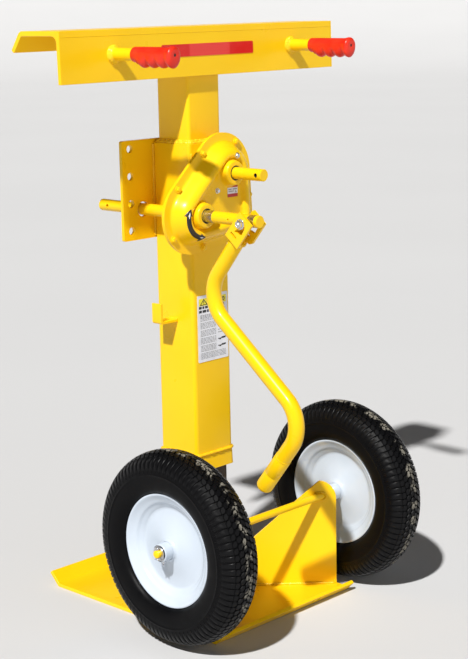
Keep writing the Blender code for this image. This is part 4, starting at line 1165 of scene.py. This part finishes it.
def yoke():
    """Two ears beside the input shaft joined by a floor that the tube is welded to."""
    inner, outer = 0.0165, 0.0225
    near, far = -0.0175, 0.0236
    cut_back = 0.0110
    s, c = math.sin(LEAN), math.cos(LEAN)

    def place(u, v, w):
        return BOLT + Vector((w, u * s - v * c, -u * c - v * s))
    corners = ((YOKE_LOW, near), (YOKE_LOW, far), (YOKE_HIGH, far), (YOKE_HIGH, near))
    holes = [arc(0.0, 0.0, BOLT_HOLE, 0, 342, 19), rounded(WINDOW, [0.0012] * 8, 3),
             rounded(SLOT, [0.0022] * 4, 4)]
    shapes = []
    for low, high, last in ((-outer, -inner, 0.0006), (inner, outer, cut_back)):
        outline = rounded(corners, (0.0020, 0.0025, last, 0.0010), 5)
        shapes.append(plate(outline, holes, place, low, high))
    floor = ((-inner, near), (inner, near), (inner, far - cut_back), (-inner, far))
    shapes.append(skin([[place(u, v, w) for w, v in floor]
                        for u in (YOKE_HIGH - 0.0060, YOKE_HIGH)]))
    painted("crank_yoke_plate", merged(*shapes), "crank", "crank_yoke", edge=0.0005)
    yoke_bolt(outer + 0.0003)


def yoke_bolt(ear):
    half = [(ear, 0.0050), (ear, 0.0108), (ear + 0.0003, 0.0110), (ear + 0.0018, 0.0108),
            (ear + 0.0020, 0.0100)]
    shank = turned([(-x, r) for x, r in reversed(half)] + half, BOLT, X, 40)
    heads = []
    r = 0.0088
    for side, tall in ((-1, 0.0068), (1, 0.0075)):
        levels = ((0, r), (tall - 0.0014, r), (tall - 0.0004, r * 0.92), (tall, r * 0.80))
        heads.append(turned(levels, BOLT + X * side * (ear + 0.0018), X * side, 6))
    tip = rod(BOLT + X * (ear + 0.0085), BOLT + X * (ear + 0.0096), 0.0055, 0.0008, 24)
    dimple = rod(BOLT - X * (ear + 0.0082), BOLT - X * (ear + 0.0094), 0.0040, 0.0008, 24)
    piece("yoke_bolt_set", merged(shank, tip, dimple, *heads), ZINC, "crank",
          "yoke_bolt", edge=0.0003)


def crank_tube():
    """Bent tube from the yoke's floor to the rod that the grip turns on."""
    (bend, first_radius), (elbow, second_radius) = CRANK_BENDS
    away = (bend - BOLT.yz).normalized()
    start = BOLT.yz + away * YOKE_HIGH
    last = (CRANK_TIP - elbow).normalized()
    shoulder = CRANK_TIP - last * CRANK_GRIP
    path = [start] + fillet(start, bend, elbow, first_radius, 24)
    path += fillet(bend, elbow, shoulder, second_radius, 24) + [shoulder]
    points = [Vector((BOLT.x, *p)) for p in path]
    radii = [CRANK_R + 0.0012 * (k / (len(points) - 1) - 0.4) for k in range(len(points))]
    along = Vector((0, *last))
    tip = Vector((BOLT.x, *CRANK_TIP))
    points += [points[-1] + along * 0.0006, points[-1] + along * 0.0008, tip - along * 0.007]
    radii += [0.0160, 0.0110, 0.0110]
    painted("crank_tube", swept(points, radii, 40), "crank", "crank_handle")
    axis = Vector((0, *away))
    ring = circle(points[0] + axis * 0.0008, X, axis.cross(X), 0.0164, 48)
    weld_piece("weld_crank", [weld(ring, 0.0034, True, 91)], "crank")
    sleeve(tip, along)


def sleeve(tip, along):
    bore, r = 0.0113, 0.0178
    start = -CRANK_GRIP + 0.0008
    groove = -0.047
    profile = [(-0.0064, bore), (start, bore), (start, r - 0.0008), (start + 0.0006, r),
               (start + 0.0030, r), (start + 0.0034, r - 0.0003), (start + 0.0040, r),
               (groove - 0.0008, r), (groove, r - 0.0004), (groove + 0.0008, r)]
    for k in range(9):
        a = math.radians(90 * k / 8)
        profile.append((-0.0105 + 0.0105 * math.sin(a), 0.0070 + 0.0108 * math.cos(a)))
    profile += [(-0.0003, 0.0046), (-0.0012, 0.0036)]
    painted("crank_sleeve_grip", turned(profile, tip, along, 48), "crank_sleeve",
            "crank_grip", 50)


def mechanism():
    """Inner parts keep their CAD shapes and get oiled metal."""
    looks = {"lift_screw": GEAR_STEEL, "screw_bevel_gear": GEAR_STEEL,
             "output_gear": GEAR_STEEL, "idler_gear": GEAR_STEEL, "lift_nut": BRONZE,
             "input_bush_rear": BRONZE, "idler_pin": ZINC, "thrust_bearing": ZINC,
             "bearing_plate": STEEL}
    for node, look in looks.items():
        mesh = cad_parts[node].data
        mesh.materials.clear()
        mesh.materials.append(look)


# ---------------------------------------------------------------- studio

def camera():
    """Camera at the photograph's place and angle."""
    eye = bpy.data.objects.new("camera", bpy.data.cameras.new("camera"))
    bpy.context.scene.collection.objects.link(eye)
    back = -Vector((0.7013, 0.6832, -0.2038)).normalized()
    right = Vector((0.1600, 0.1276, 0.9788)).cross(back).normalized()
    turn = Matrix((right, back.cross(right), back)).transposed().to_4x4()
    eye.matrix_world = Matrix.Translation((-2.3840, -2.4450, 1.3068)) @ turn
    eye.data.sensor_width = 36.0
    eye.data.lens = 87.3
    eye.data.shift_x = -0.0006
    eye.data.shift_y = -0.0023
    bpy.context.scene.camera = eye


def ground():
    """A flat floor that sweeps up into a low pale wall, far outside the object."""
    sweep = ((22.0, -0.0002), (24.0, 0.17), (27.0, 0.76), (31.0, 1.98), (65.0, 15.7))
    floor = skin([circle(Z * height, X, Y, radius, 96) for radius, height in sweep])
    floor.faces.ensure_lookup_table()
    floor.faces.remove(floor.faces[-1])
    look = Look("floor_pale", Specular_IOR_Level=0.1, Roughness=0.75)
    tone = look.remap(look.noise(0.6), 0.3, 0.7)
    look.colour(look.mix(tone, (0.597, 0.597, 0.602), (0.608, 0.608, 0.613)))
    disc = piece("floor", floor, look.mat, None)
    disc.visible_shadow = False


def sun(name, towards, strength, angle, colour):
    data = bpy.data.lights.new(name, "SUN")
    data.energy = strength
    data.angle = math.radians(angle)
    data.color = colour
    light = bpy.data.objects.new(name, data)
    light.rotation_mode = "QUATERNION"
    light.rotation_quaternion = (-Vector(towards)).to_track_quat("Z", "Y")
    bpy.context.scene.collection.objects.link(light)


def studio():
    camera()
    ground()
    sun("key", (1.0, 0.42, -1.20), 4.95, 2.0, (1.0, 0.99, 0.97))
    sun("front", (0.15, 1.0, -0.40), 0.42, 50.0, (1.0, 1.0, 1.0))
    world = bpy.data.worlds.new("studio")
    world.use_nodes = True
    sky = world.node_tree.nodes["Background"].inputs
    sky["Color"].default_value = (0.93, 0.96, 1.0, 1.0)
    sky["Strength"].default_value = 0.02
    bpy.context.scene.world = world
    bpy.context.scene.view_settings.view_transform = "Standard"


base_plate()
for turn_side in (-1, 1):
    gusset(turn_side, True)
    gusset(turn_side, False)
leg()
axle()
wheel("left", -1)
wheel("right", 1)
column_tubes()
beam()
handle("left", -1)
handle("right", 1)
rear_flange()
hook()
tape()
label()
decal()
gearbox_case()
cover_piece = gearbox_cover()
gearbox_small()
arrow(cover_piece)
shafts()
yoke()
crank_tube()
mechanism()
studio()
